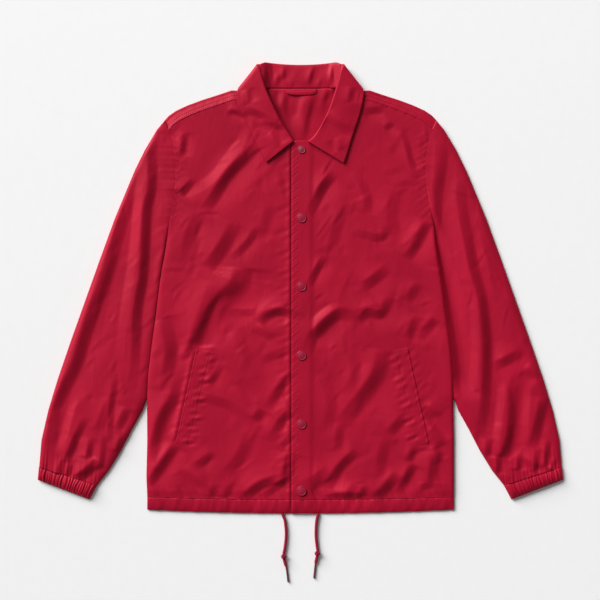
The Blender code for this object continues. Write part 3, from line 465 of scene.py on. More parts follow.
def cells(grid: np.ndarray) -> list[np.ndarray]:
    """The four corners of each face of a grid, in turn."""
    return [grid[:-1, :-1], grid[:-1, 1:], grid[1:, 1:], grid[1:, :-1]]


def grid_object(
    name: str, *grids: np.ndarray, loop: bool = False, uv: np.ndarray | None = None
) -> bpy.types.Object:
    """A surface through one or more grids of points, welded where they meet.

    Args:
        name: the object's name.
        *grids: rows by columns by 3, in millimetres; they face up where X and Y rise along them.
        loop: whether the last column joins the first.
        uv: rows by columns plus one, by 2, in metres, for a single looped grid.

    Returns:
        The new object.
    """
    quads = []
    first = 0
    for points in grids:
        rows, columns = points.shape[:2]
        number = first + np.arange(rows * columns).reshape(rows, columns)
        if loop:
            number = np.concatenate([number, number[:, :1]], axis=1)
        quads.append(np.stack(cells(number), axis=-1).reshape(-1, 4))
        first += rows * columns
    places = np.concatenate([points.reshape(-1, 3) for points in grids])
    faces = np.concatenate(quads)
    if len(grids) > 1:
        _, keep, index = np.unique(np.round(places, 3), axis=0, return_index=True, return_inverse=True)
        places, faces = places[keep], index.reshape(-1)[faces]
    mesh = bpy.data.meshes.new(name)
    mesh.vertices.add(len(places))
    mesh.vertices.foreach_set("co", (places * MM).astype(np.float32).ravel())
    mesh.loops.add(faces.size)
    mesh.loops.foreach_set("vertex_index", faces.ravel().astype(np.int32))
    mesh.polygons.add(len(faces))
    mesh.polygons.foreach_set("loop_start", np.arange(0, faces.size, 4, dtype=np.int32))
    mesh.update(calc_edges=True)
    if uv is not None:
        layer = mesh.uv_layers.new(name="Cord")
        layer.data.foreach_set("uv", np.stack(cells(uv), axis=2).astype(np.float32).ravel())
    mesh.shade_smooth()
    return link_object(name, mesh)


def settle(made: bpy.types.Object) -> bpy.types.Object:
    """Turns an object with its modifiers into a plain mesh, and takes the modifiers off."""
    graph = bpy.context.evaluated_depsgraph_get()
    mesh = bpy.data.meshes.new_from_object(made.evaluated_get(graph))
    mesh.name = made.name
    made.modifiers.clear()
    made.data = mesh
    return made


def seal(made: bpy.types.Object, weld: bool = False) -> None:
    """Closes a shape and turns its faces outwards.

    Args:
        made: the shape.
        weld: whether points in the same place are joined first.
    """
    shape = bmesh.new()
    shape.from_mesh(made.data)
    if weld:
        bmesh.ops.remove_doubles(shape, verts=shape.verts, dist=1e-6)
    bmesh.ops.holes_fill(shape, edges=[edge for edge in shape.edges if edge.is_boundary])
    bmesh.ops.recalc_face_normals(shape, faces=shape.faces)
    shape.to_mesh(made.data)
    shape.free()
    made.data.shade_smooth()


def give_wall(made: bpy.types.Object, cloth: float, offset: float = -1.0) -> bpy.types.Object:
    """Gives an open surface the cloth's thickness.

    Args:
        made: the surface.
        cloth: thickness in millimetres.
        offset: -1 puts the wall under the surface, 0 to both sides.

    Returns:
        The same object as a closed shell.
    """
    wall = made.modifiers.new("Wall", "SOLIDIFY")
    wall.thickness = cloth * MM
    wall.offset = offset
    wall.use_even_offset = False
    wall.use_rim = True
    return settle(made)


def dress(made: bpy.types.Object, material: bpy.types.Material) -> bpy.types.Object:
    """Leaves the object with this one material."""
    made.data.materials.clear()
    made.data.materials.append(material)
    return made


def new_material(name: str, finish: dict[str, Any]) -> tuple[bpy.types.Material, Any, Any, Any]:
    """Starts a material.

    Args:
        name: what the material really is.
        finish: what is the same all over the surface, for the shader's own sockets.

    Returns:
        The material, its tree, its shader and the socket of the piece's own coordinates.
    """
    material = bpy.data.materials.new(name)
    material.use_nodes = True
    tree = material.node_tree
    shader = tree.nodes["Principled BSDF"]
    for socket, value in finish.items():
        shader.inputs[socket].default_value = value
    return material, tree, shader, add_node(tree, "ShaderNodeTexCoord").outputs["Object"]


@dataclass(frozen=True)
class WovenNylon:
    """Plain-woven nylon taffeta, piece-dyed.

    Its fine filament threads give a soft silky sheen, and it creases in small, sharp lines.
    """

    name: str
    colour: str = "#AD082D"
    deep: str = "#A4062A"
    roughness: float = 0.52
    lustre: float = 0.12
    crinkle_mm: float = 0.2
    cloud_mm: float = 120.0
    thread_mm: float = 0.5

    def material(self) -> bpy.types.Material:
        """Builds two tones of one dye, long soft crinkles, small sharp ones, and the weave."""
        # Light that the dyed filaments pass on and mirror keeps the dye's colour, like a metal's gloss.
        # Nylon 6.6 has an index of refraction near 1.53, and the nap scatters light at a low angle
        finish = {
            "Roughness": self.roughness,
            "Metallic": self.lustre,
            "IOR": 1.53,
            "Specular IOR Level": 0.17,
            "Sheen Weight": 0.12,
            "Sheen Roughness": 0.35,
            "Sheen Tint": linear("#E0506E"),
        }
        material, tree, shader, place = new_material(self.name, finish)
        cloud = add_node(
            tree, "ShaderNodeTexNoise", {"Vector": place, "Scale": PER_METRE / self.cloud_mm, "Detail": 3.0}
        )
        tone = add_node(
            tree, "ShaderNodeMapRange", {"Value": cloud.outputs[0], "From Min": 0.38, "From Max": 0.66}
        )
        mix = add_node(
            tree,
            "ShaderNodeMix",
            {0: tone.outputs[0], 6: linear(self.colour), 7: linear(self.deep)},
            data_type="RGBA",
        )
        tree.links.new(mix.outputs[2], shader.inputs["Base Color"])
        turned = add_node(
            tree,
            "ShaderNodeMapping",
            {"Vector": place, "Rotation": (0.0, 0.0, 0.65), "Scale": (1.0, 0.45, 1.0)},
        )
        soft = add_node(
            tree,
            "ShaderNodeTexNoise",
            {
                "Vector": turned.outputs[0],
                "Scale": PER_METRE / 34.0,
                "Detail": 4.0,
                "Roughness": 0.5,
                "Distortion": 0.6,
            },
        )
        # Ridged noise gives the short sharp lines of crushed taffeta, about 20 mm apart
        sharp = add_node(
            tree,
            "ShaderNodeTexNoise",
            {"Vector": turned.outputs[0], "Scale": PER_METRE / 20.0, "Detail": 2.0, "Distortion": 1.2},
        )
        centred = add_node(tree, "ShaderNodeMath", {0: sharp.outputs[0], 1: 0.5}, operation="SUBTRACT")
        ridge = add_node(tree, "ShaderNodeMath", {0: centred.outputs[0]}, operation="ABSOLUTE")
        both = add_node(
            tree,
            "ShaderNodeMath",
            {0: ridge.outputs[0], 1: -0.35, 2: soft.outputs[0]},
            operation="MULTIPLY_ADD",
        )
        crinkle = add_node(
            tree,
            "ShaderNodeBump",
            {"Height": both.outputs[0], "Distance": self.crinkle_mm * 4 * MM, "Strength": 1.0},
        )
        # Real threads are 0.15 mm apart; they are drawn 0.5 mm apart so that a close view shows them
        waves = [
            add_node(
                tree,
                "ShaderNodeTexWave",
                {"Vector": place, "Scale": PER_METRE / self.thread_mm * WAVE_SCALE},
                bands_direction=direction,
            )
            for direction in ("X", "Y")
        ]
        weave = add_node(
            tree, "ShaderNodeMath", {0: waves[0].outputs[1], 1: waves[1].outputs[1]}, operation="MULTIPLY"
        )
        threads = add_node(
            tree,
            "ShaderNodeBump",
            {
                "Height": weave.outputs[0],
                "Distance": 0.05 * MM,
                "Strength": 0.25,
                "Normal": crinkle.outputs[0],
            },
        )
        tree.links.new(threads.outputs[0], shader.inputs["Normal"])
        return material


@dataclass(frozen=True)
class SewingThread:
    """Spun polyester sewing thread, dyed to match and matt."""

    name: str = "thread_spun_polyester"
    colour: str = "#A81433"

    def material(self) -> bpy.types.Material:
        """Builds the thread with fine random flecks of a lighter tone, which are painted highlights on the
        stitches.
        """
        finish = {"Roughness": 0.75, "Specular IOR Level": 0.2}
        material, tree, shader, place = new_material(self.name, finish)
        # Painted highlight: noise mixes in a lighter red at random along the stitches
        highlight_fleck = add_node(tree, "ShaderNodeTexNoise", {"Vector": place, "Scale": 900.0, "Detail": 1.0})
        mix = add_node(
            tree,
            "ShaderNodeMix",
            {0: highlight_fleck.outputs[0], 6: linear(self.colour), 7: linear("#B42642")},
            data_type="RGBA",
        )
        tree.links.new(mix.outputs[2], shader.inputs["Base Color"])
        return material


@dataclass(frozen=True)
class SnapEnamel:
    """Brass snap caps under baked red enamel: smooth, satin, with a soft highlight at the rim."""

    name: str = "enamel_baked_red"
    colour: str = "#A0183A"

    def material(self) -> bpy.types.Material:
        """Builds the enamel with the faint unevenness of a dipped coat."""
        # Enamel's glassy binder has an index of refraction near 1.5
        finish = {"IOR": 1.5, "Specular IOR Level": 0.32, "Coat Weight": 0.08, "Coat Roughness": 0.25}
        material, tree, shader, place = new_material(self.name, finish)
        uneven = add_node(tree, "ShaderNodeTexNoise", {"Vector": place, "Scale": 350.0, "Detail": 2.0})
        mix = add_node(
            tree,
            "ShaderNodeMix",
            {0: uneven.outputs[0], 6: linear(self.colour), 7: linear("#8E1430")},
            data_type="RGBA",
        )
        tree.links.new(mix.outputs[2], shader.inputs["Base Color"])
        rough = add_node(
            tree, "ShaderNodeMapRange", {"Value": uneven.outputs[0], "To Min": 0.3, "To Max": 0.42}
        )
        tree.links.new(rough.outputs[0], shader.inputs["Roughness"])
        bump = add_node(
            tree, "ShaderNodeBump", {"Height": uneven.outputs[0], "Distance": 0.05 * MM, "Strength": 0.4}
        )
        tree.links.new(bump.outputs[0], shader.inputs["Normal"])
        return material


@dataclass(frozen=True)
class BraidedCord:
    """Round braided polyester cord: eight carriers cross in small diamonds, matt and soft."""

    name: str
    colour: str
    # Darker colour painted into the grooves between the strands, as shade
    dark: str
    plait_mm: float = 2.2

    def material(self) -> bpy.types.Material:
        """Builds the braid from two sets of slanted strands on the piece's own UV map, and paints shade
        into the grooves between them with the darker colour.
        """
        finish = {"Roughness": 0.7, "Specular IOR Level": 0.2}
        material, tree, shader, _ = new_material(self.name, finish)
        uv = add_node(tree, "ShaderNodeUVMap", uv_map="Cord").outputs[0]
        strands = []
        for slant in (1.0, -1.0):
            turned = add_node(
                tree,
                "ShaderNodeMapping",
                {"Vector": uv, "Rotation": (0.0, 0.0, slant * math.radians(38.0))},
            )
            strands.append(
                add_node(
                    tree,
                    "ShaderNodeTexWave",
                    {"Vector": turned.outputs[0], "Scale": PER_METRE / self.plait_mm * WAVE_SCALE},
                    bands_direction="X",
                )
            )
        crossing = add_node(
            tree,
            "ShaderNodeMath",
            {0: strands[0].outputs[1], 1: strands[1].outputs[1]},
            operation="MAXIMUM",
        )
        # Painted shade: the low places between the strands take the darker colour
        mix = add_node(
            tree,
            "ShaderNodeMix",
            {0: crossing.outputs[0], 6: linear(self.dark), 7: linear(self.colour)},
            data_type="RGBA",
        )
        tree.links.new(mix.outputs[2], shader.inputs["Base Color"])
        bump = add_node(
            tree, "ShaderNodeBump", {"Height": crossing.outputs[0], "Distance": 0.3 * MM, "Strength": 0.8}
        )
        tree.links.new(bump.outputs[0], shader.inputs["Normal"])
        return material


@dataclass(frozen=True)
class Beside:
    """How places lie beside a line of straight spans; all in millimetres.

    away is the distance to the line, across the signed distance from the nearest span's own line,
    passed how many spans come before the nearest place, run the length before it, and whole the
    length of the line.
    """

    near: np.ndarray
    away: np.ndarray
    across: np.ndarray
    passed: np.ndarray
    run: np.ndarray
    whole: float

    @classmethod
    def of(cls, line: np.ndarray, reach: float, x: np.ndarray, y: np.ndarray) -> Beside:
        """Measures the places, left out where they are further from the line's box than the reach."""
        low, high = line.min(0) - reach, line.max(0) + reach
        near = (x > low[0]) & (x < high[0]) & (y > low[1]) & (y < high[1])
        px, py = x[near], y[near]
        away = np.full(px.shape, np.inf)
        across, passed, run_at = (np.zeros(px.shape) for _ in range(3))
        whole = 0.0
        for index, (a, b) in enumerate(zip(line, line[1:])):
            run = b - a
            length = float(np.hypot(*run)) or 1e-9
            dx, dy = px - a[0], py - a[1]
            along = np.clip((dx * run[0] + dy * run[1]) / length**2, 0.0, 1.0)
            found = np.hypot(dx - along * run[0], dy - along * run[1])
            closer = found < away
            away = np.where(closer, found, away)
            across = np.where(closer, (dy * run[0] - dx * run[1]) / length, across)
            passed = np.where(closer, index + along, passed)
            run_at = np.where(closer, whole + along * length, run_at)
            whole += length
        return cls(near, away, across, passed, run_at, whole)


def crease_profile() -> tuple[np.ndarray, np.ndarray]:
    """Height across a crease of depth 2 and half width 1.

    Returns:
        Places across, falling away from the window, and the height at each: a long rise to a crisp
        crest at -1, a straight steep face to the hollow at 1, and a long rise back.
    """
    place = np.linspace(-6.0, 6.0, 601)
    rise = 0.125 * np.clip(5.0 - np.abs(place), 0.0, 4.0)
    slope = np.where(np.abs(place) < 1.0, -1.0, rise)
    kernel = np.exp(-((np.linspace(-0.7, 0.7, 71) / 0.16) ** 2))
    slope = np.convolve(slope, kernel / kernel.sum(), mode="same")
    height = np.cumsum(slope) * (place[1] - place[0])
    return place, height - np.linspace(0.0, height[-1], len(height))


PROFILE_PLACE, PROFILE_HEIGHT = crease_profile()


@dataclass(frozen=True)
class Crease:
    """One crease: a crest on the window's side of its line and a hollow beyond it."""

    line: tuple[Plan, ...]
    width: float
    depth: float
    peak: float

    def add_to(self, total: np.ndarray, x: np.ndarray, y: np.ndarray) -> None:
        """Adds the crease's height to the places near its line.

        Args:
            total: heights in millimetres, changed in place.
            x: places across, in millimetres.
            y: places up the jacket, in millimetres.
        """
        line = smooth_line(self.line, 4 * len(self.line))
        beside = Beside.of(line, 5.0 * self.width, x, y)
        # The window is at the upper left, so the far side of a crease faces the lower right
        facing = 1.0 if (line[0] - line[-1]).sum() > 0.0 else -1.0
        signed = np.copysign(beside.away, facing * beside.across)
        share = beside.passed / (len(line) - 1)
        ends = soft_step(share / max(self.peak, 1e-3)) * soft_step((1 - share) / max(1 - self.peak, 1e-3))
        fade = np.sqrt(np.maximum(ends, 0.0))
        shape = np.interp(signed / self.width, PROFILE_PLACE, PROFILE_HEIGHT)
        total[beside.near] += 0.5 * self.depth * fade * shape


class Relief:
    """Heights on a fine grid, read between its points."""

    def __init__(self, sources: Sequence[Any], step: float = 1.25) -> None:
        """Adds up the sources.

        Args:
            sources: creases or rows of puckers, each with a line and add_to.
            step: the grid's spacing in millimetres.
        """
        places = np.concatenate([np.asarray(source.line, float) for source in sources])
        self.step = step
        self.low = places.min(0) - 45.0
        count = np.ceil((places.max(0) + 45.0 - self.low) / step).astype(int) + 1
        x, y = np.meshgrid(*(self.low[axis] + step * np.arange(count[axis]) for axis in (0, 1)))
        self.heights = np.zeros(x.shape)
        for source in sources:
            source.add_to(self.heights, x, y)

    def at(self, x: np.ndarray, y: np.ndarray) -> np.ndarray:
        """Height at each place, and none beyond the grid."""
        rows, columns = self.heights.shape
        u = np.clip((np.asarray(x, float) - self.low[0]) / self.step, 0.0, columns - 1.001)
        v = np.clip((np.asarray(y, float) - self.low[1]) / self.step, 0.0, rows - 1.001)
        i, j = u.astype(int), v.astype(int)
        u, v = u - i, v - j
        lower = self.heights[j, i] * (1 - u) + self.heights[j, i + 1] * u
        upper = self.heights[j + 1, i] * (1 - u) + self.heights[j + 1, i + 1] * u
        return lower * (1 - v) + upper * v


@dataclass(frozen=True)
class FoldField:
    """The creases of one cloth."""

    creases: tuple[Crease, ...]

    @classmethod
    def of(cls, *tables: tuple[FoldRow, ...], deeper: float = 2.3, wider: float = 0.95) -> FoldField:
        """Reads creases from tables, and makes them this many times as deep and as wide."""
        rows = (row for table in tables for row in table)
        made = (Crease(line, wider * width, deeper * depth, peak) for line, width, depth, peak in rows)
        return cls(tuple(made))

    @cached_property
    def relief(self) -> Relief:
        """The creases' heights on a grid that covers all of them."""
        return Relief(self.creases)

    def at(self, x: np.ndarray, y: np.ndarray) -> np.ndarray:
        """Height that the creases add at each place, in millimetres."""
        return self.relief.at(x, y)


def small_creases(
    box: tuple[float, float, float, float], count: int, heading: float, spread: float, seed: int
) -> tuple[FoldRow, ...]:
    """Small uneven creases all over a cloth, like those that the photograph shows between the main ones.

    Args:
        box: least and most X, then least and most Y, in millimetres.
        count: how many.
        heading: direction that most of them run in, in degrees from X.
        spread: how far they turn from it, in degrees.
        seed: fixed seed of their places and sizes.

    Returns:
        Rows as in the tables of main creases.
    """
    random = np.random.default_rng(seed)
    rows = []
    for _ in range(count):
        centre = np.array([random.uniform(*box[:2]), random.uniform(*box[2:])])
        angle = math.radians(heading + spread * random.normal())
        along = np.array([math.cos(angle), math.sin(angle)])
        half = random.uniform(7.0, 26.0)
        bend = np.array([-along[1], along[0]]) * random.uniform(-0.22, 0.22) * half
        line = (tuple(centre - half * along), tuple(centre + bend), tuple(centre + half * along))
        depth = random.uniform(0.1, 0.5) * (1.0 if random.uniform() < 0.7 else -1.0)
        rows.append((line, random.uniform(2.2, 6.5), depth, random.uniform(0.3, 0.7)))
    return tuple(rows)


@dataclass(frozen=True)
class SeamPuckers:
    """Short uneven ridges that stitching draws up across a seam."""

    line: tuple[Plan, ...]
    reach: float
    height: float
    spacing: float
    lean: float
    seed: int

    def add_to(self, total: np.ndarray, x: np.ndarray, y: np.ndarray) -> None:
        """Adds the puckers to heights, changed in place; all in millimetres."""
        beside = Beside.of(even_line(self.line, 12.0), 2.5 * self.reach, x, y)
        best, run_at = beside.away, beside.run
        random = np.random.default_rng(self.seed)
        wave = np.zeros(best.shape)
        for octave, weight in ((1.0, 1.0), (1.63, 0.7), (0.47, 0.8)):
            phase = random.uniform(0.0, 2.0 * math.pi)
            lean = self.lean + random.uniform(-0.25, 0.25)
            drift = 0.35 * self.spacing * np.sin(run_at / (3.1 * self.spacing) + 2.0 * phase)
            place = run_at + lean * beside.across + drift
            wave += weight * np.sin(2 * math.pi * octave * place / self.spacing + phase)
        sharp = np.sign(wave) * np.abs(wave / 1.6) ** 1.3
        # Close to the needle the cloth is held down, and the ridges stand highest a little away
        held = np.exp(-((best / self.reach) ** 2)) * (0.35 + 0.65 * soft_step(best / (0.5 * self.reach)))
        held = held * soft_step(np.minimum(run_at, beside.whole - run_at) / 9.0)
        total[beside.near] += self.height * sharp * held


class Outline:
    """Plan edges of the jacket, read from the tables; all in millimetres."""

    @staticmethod
    def read(table: Sequence[Sequence[float]], at: Any, column: int = 1) -> np.ndarray:
        """Column of a table at places in its first column, along straight lines."""
        rows = np.asarray(table, float)
        return np.interp(at, rows[:, 0], rows[:, column])

    @classmethod
    def side_edge(cls, side: Side, up: Any) -> np.ndarray:
        """Distance of the armhole or side seam from the middle."""
        return cls.read(SIDE_TABLE, up, 1 if side is Side.LEFT else 2)

    @classmethod
    def edge_at(cls, x: np.ndarray, y: np.ndarray) -> np.ndarray:
        """Distance of the nearer side's edge from the middle, for places on both sides."""
        left = cls.side_edge(Side.LEFT, y)
        return np.where(x < 0.0, left, cls.side_edge(Side.RIGHT, y))

    @classmethod
    def shoulder_up(cls, across: Any) -> np.ndarray:
        """Height of the shoulder fold."""
        return cls.read(SHOULDER_TABLE, np.abs(across))

    @classmethod
    def top_up(cls, side: Side, across: Any) -> np.ndarray:
        """Top edge of a front: placket, neck seam, then the forward shoulder seam."""
        table = TOP_LEFT_TABLE if side is Side.LEFT else TOP_RIGHT_TABLE
        end_x, end_up = table[-1]
        share = (np.asarray(across) - end_x) / (COLUMN_END - end_x)
        fold = cls.shoulder_up(FOLD_START + share * (FOLD_END - FOLD_START))
        seam = end_up + fold - FOLD_UP - share * (SEAM_DROP - FOLD_UP + end_up)
        return np.where(np.asarray(across) < end_x, cls.read(table, across), seam)

    @staticmethod
    def hem_seam(across: Any) -> np.ndarray:
        """Height of the seam above the hem casing."""
        return HEM_UP - HEM_BOW * (1.0 - (np.asarray(across) / HEM_HALF) ** 2)

    @classmethod
    def hem_edge(cls, across: Any) -> np.ndarray:
        """Height of the jacket's lower edge."""
        return cls.hem_seam(across) - CASING_HEIGHT + 0.3 * HEM_BOW * (np.asarray(across) / HEM_HALF) ** 2

    @classmethod
    def sleeve_inner(cls, side: Side, up: Any) -> np.ndarray:
        """Distance of a sleeve's inner edge from the middle."""
        beside = cls.side_edge(side, up) - 0.4
        free = cls.read(SLEEVE_INNER_TABLE, up)
        return np.where(np.asarray(up) >= SLEEVE_INNER_TABLE[-1][0], beside, free)


@dataclass(frozen=True)
class Lay:
    """How high each cloth lies above the table; all in millimetres."""

    cloth: float = 0.8
    back_top: float = 1.2
    gap: float = 0.3
    loft: float = 4.4
    roll_left: float = 15.0
    roll_right: float = 6.0
    most: float = 7.5
    field: FoldField = FoldField.of(
        CHEST_LEFT,
        BELLY_LEFT,
        CHEST_RIGHT,
        BELLY_RIGHT,
        small_creases((-250.0, -30.0, -350.0, 290.0), 120, 58.0, 22.0, 71),
        small_creases((30.0, 250.0, -350.0, 290.0), 120, 62.0, 28.0, 72),
    )
    puckers: tuple[SeamPuckers, ...] = tuple(
        SeamPuckers(*row, seed) for seed, row in enumerate(PUCKER_SEAMS, start=11)
    )

    @cached_property
    def pucker_relief(self) -> Relief:
        """The puckers' heights on a fine grid."""
        return Relief(self.puckers, 1.0)

    @staticmethod
    def collar_lift(x: np.ndarray, y: np.ndarray) -> np.ndarray:
        """Rise of the back and all above it over the part of the collar that lies beneath."""
        return 1.5 * soft_step((y - 298.0) / 28.0) * soft_step((138.0 - np.abs(x)) / 26.0)

    @staticmethod
    def neck_wall(x: np.ndarray, y: np.ndarray) -> np.ndarray:
        """Rise of the collar's stand and the back beneath it towards each side of the neck."""
        sides = np.clip((np.abs(x) - 51.0) / 18.0, 0.0, 1.0) * soft_step((92.0 - np.abs(x)) / 18.0)
        return 8.0 * sides * soft_step((y - 322.0) / 28.0)

    @staticmethod
    def on_welt(x: np.ndarray, y: np.ndarray) -> np.ndarray:
        """1 on a pocket welt, fading to 0 round it."""
        found = np.zeros(np.shape(x))
        for corners in (WELT_LEFT, WELT_RIGHT):
            (ax, ay), (bx, _), (cx, _), (dx, dy) = corners
            share = np.clip((y - ay) / (dy - ay), 0.0, 1.0)
            middle = (ax + bx) / 2 + share * ((cx + dx) - (ax + bx)) / 2
            half = abs(bx - ax) / 2 + 1.0
            beyond = np.maximum.reduce([np.abs(x - middle) - half, dy - y, y - ay])
            found = np.maximum(found, 1.0 - soft_step(beyond / 9.0))
        return found

    @staticmethod
    def by_opening(x: np.ndarray, y: np.ndarray) -> np.ndarray:
        """1 a little outside the left pocket's opening, falling steeply to it and slowly away from it."""
        (ax, ay), _, _, (dx, dy) = WELT_LEFT
        share = np.clip((y - ay) / (dy - ay), 0.0, 1.0)
        outside = ax + share * (dx - ax) - x
        within = soft_step((ay - y) / 14.0) * soft_step((y - dy) / 14.0)
        lip = np.clip((outside - 0.4) / 2.8, 0.0, 1.0)
        return lip * np.exp(-np.maximum(outside - 3.2, 0.0) / 13.0) * within

    @staticmethod
    def placket_extra(x: np.ndarray) -> np.ndarray:
        """Thickness that the placket's folded facing adds, with a rounded edge."""
        edge = rounded(x - PLACKET_X, 2.4)
        return 0.9 * edge * soft_step((FACING_X - x) / 10.0) - 0.3 * (1.0 - edge)

    def ground(self, x: np.ndarray, y: np.ndarray) -> np.ndarray:
        """Underside of the fronts, where both would lie if neither was under the other."""
        inset = Outline.edge_at(x, y) - np.abs(x)
        below_pit = soft_step((PIT_UP + 20.0 - y) / 40.0)
        round_edge = rounded(inset, np.where(x < 0.0, self.roll_left, self.roll_right))
        beside = by_sleeve(y)
        rise = 1.0 - below_pit * (1.0 - round_edge) * (1.0 - 0.4 * beside)
        calm = 1.0 - 0.55 * soft_step((30.0 - np.abs(x)) / 12.0)
        calm = calm * (1.0 - 0.7 * self.on_welt(x, y))
        folds = self.field.at(x, y) * calm
        extra = self.pucker_relief.at(x, y) + 2.7 * self.by_opening(x, y)
        extra = extra + 2.2 * np.exp(-((inset / 26.0) ** 2)) * below_pit * beside * (x > 0.0)
        high, low = levelled(folds, self.most, self.loft)
        height = self.loft + high + low + extra
        hem = 0.25 * soft_step((y + 352.0) / -14.0)
        lifted = self.collar_lift(x, y)
        groove = 0.25 * np.exp(-(((y - Outline.hem_seam(x)) / 1.8) ** 2))
        return self.back_top + self.gap + lifted + np.maximum(0.0, rise * height * (1.0 - hem)) - groove

    def front_low(self, side: Side, x: np.ndarray, y: np.ndarray) -> np.ndarray:
        """Underside of a front: the left one swells beside the placket's edge, then dips beneath it."""
        if side is Side.LEFT:
            swell = 0.8 * np.exp(-(((x + 20.5) / 4.5) ** 2)) * (x < PLACKET_X)
            return self.ground(x, y) + swell - 1.7 * soft_step((x + 19.0) / 3.6)
        return self.ground(x, y) + 0.4 * soft_step((30.0 - x) / 14.0)

    def front_top(self, x: np.ndarray, y: np.ndarray) -> np.ndarray:
        """Upper face of whichever front shows at a place."""
        left = self.front_low(Side.LEFT, x, y)
        right = self.front_low(Side.RIGHT, x, y) + self.placket_extra(x)
        return np.where(x < PLACKET_X, left, right) + self.cloth


def clustered(start: float, end: float, spacing: float, near_start: bool, near_end: bool) -> np.ndarray:
    """Places from start to end, closer together towards the ends that need a rounded edge.

    Args:
        start: first place.
        end: last place, above start.
        spacing: distance between places away from the ends.
        near_start: whether they are closer at the start.
        near_end: whether they are closer at the end.

    Returns:
        Rising places, start and end among them.
    """
    fine = np.array([0.0, 0.25, 0.7, 1.4, 2.4, 3.8, 5.6, 7.8])
    low = start + (fine if near_start else fine[:1])
    high = end - (fine if near_end else fine[:1])[::-1]
    inner = np.linspace(low[-1], high[0], max(2, round((high[0] - low[-1]) / spacing)))
    return np.concatenate([low[:-1], inner, high[1:]])


def ride(made: bpy.types.Object, slot: str, *nodes: str) -> bpy.types.Object:
    """Puts a finished piece on the jacket's body.

    Args:
        made: the piece.
        slot: the record's material slot; not used.
        *nodes: the CAD nodes that it stands for.

    Returns:
        The same piece.
    """
    if nodes:
        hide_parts(*nodes)
    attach(made, "root")
    log.info("%s: %d faces", made.name, len(made.data.polygons))
    return made


def sew(
    node: str,
    cloth: bpy.types.Material,
    wall: float,
    *grids: np.ndarray,
    offset: float = -1.0,
    loop: bool = False,
) -> bpy.types.Object:
    """Makes one piece of cloth from its upper face, or its middle where the offset is 0.

    Args:
        node: the CAD node that it stands for.
        cloth: its material.
        wall: its thickness in millimetres.
        *grids: its face, as for grid_object.
        offset: -1 puts the wall under the face, 0 to both sides.
        loop: whether the last column joins the first.

    Returns:
        The finished piece.
    """
    made = give_wall(grid_object(f"cloth_{node}", *grids, loop=loop), wall, offset)
    return ride(dress(made, cloth), "shell_cloth", node)


@dataclass(frozen=True)
class Front:
    """One front: from the placket's edge to the side seam, the hem seam and the shoulder."""

    side: Side
    lay: Lay
    spacing: float = 2.9

    def plan(self, across: np.ndarray, share_up: np.ndarray) -> tuple[np.ndarray, np.ndarray]:
        """Place in plan of a column and a share of its height, measured on the right side.

        Args:
            across: column, as a distance from the middle along the top edge.
            share_up: 0 at the hem seam and 1 at the top edge.

        Returns:
            Distance from the middle and height up the jacket.
        """
        up = HEM_UP + share_up * (FRONT_UP - HEM_UP)
        edge = Outline.side_edge(self.side, up)
        x = PLACKET_X + (across - PLACKET_X) / (COLUMN_END - PLACKET_X) * (edge - PLACKET_X)
        base = Outline.hem_seam(x)
        return x, base + share_up * (Outline.top_up(self.side, across) - base)

    def build(self, cloth: bpy.types.Material) -> bpy.types.Object:
        """Makes the front as a thin shell."""
        near = clustered(PLACKET_X, FACING_X, 1.6, True, False)
        across = np.concatenate([near[:-1], clustered(FACING_X, COLUMN_END, self.spacing, False, True)])
        share_up = np.linspace(0.0, 1.0, 430)
        columns, shares = np.meshgrid(across, share_up)
        x, y = self.plan(columns, shares)
        x = self.side.value * x
        if self.side is Side.LEFT:
            x, y = x[:, ::-1], y[:, ::-1]
        z = self.lay.front_low(self.side, x, y) + self.lay.cloth
        if self.side is Side.RIGHT:
            z = z + self.lay.placket_extra(x)
        return sew(f"front_{self.side.word}", cloth, self.lay.cloth, np.stack([x, y, z], axis=-1))


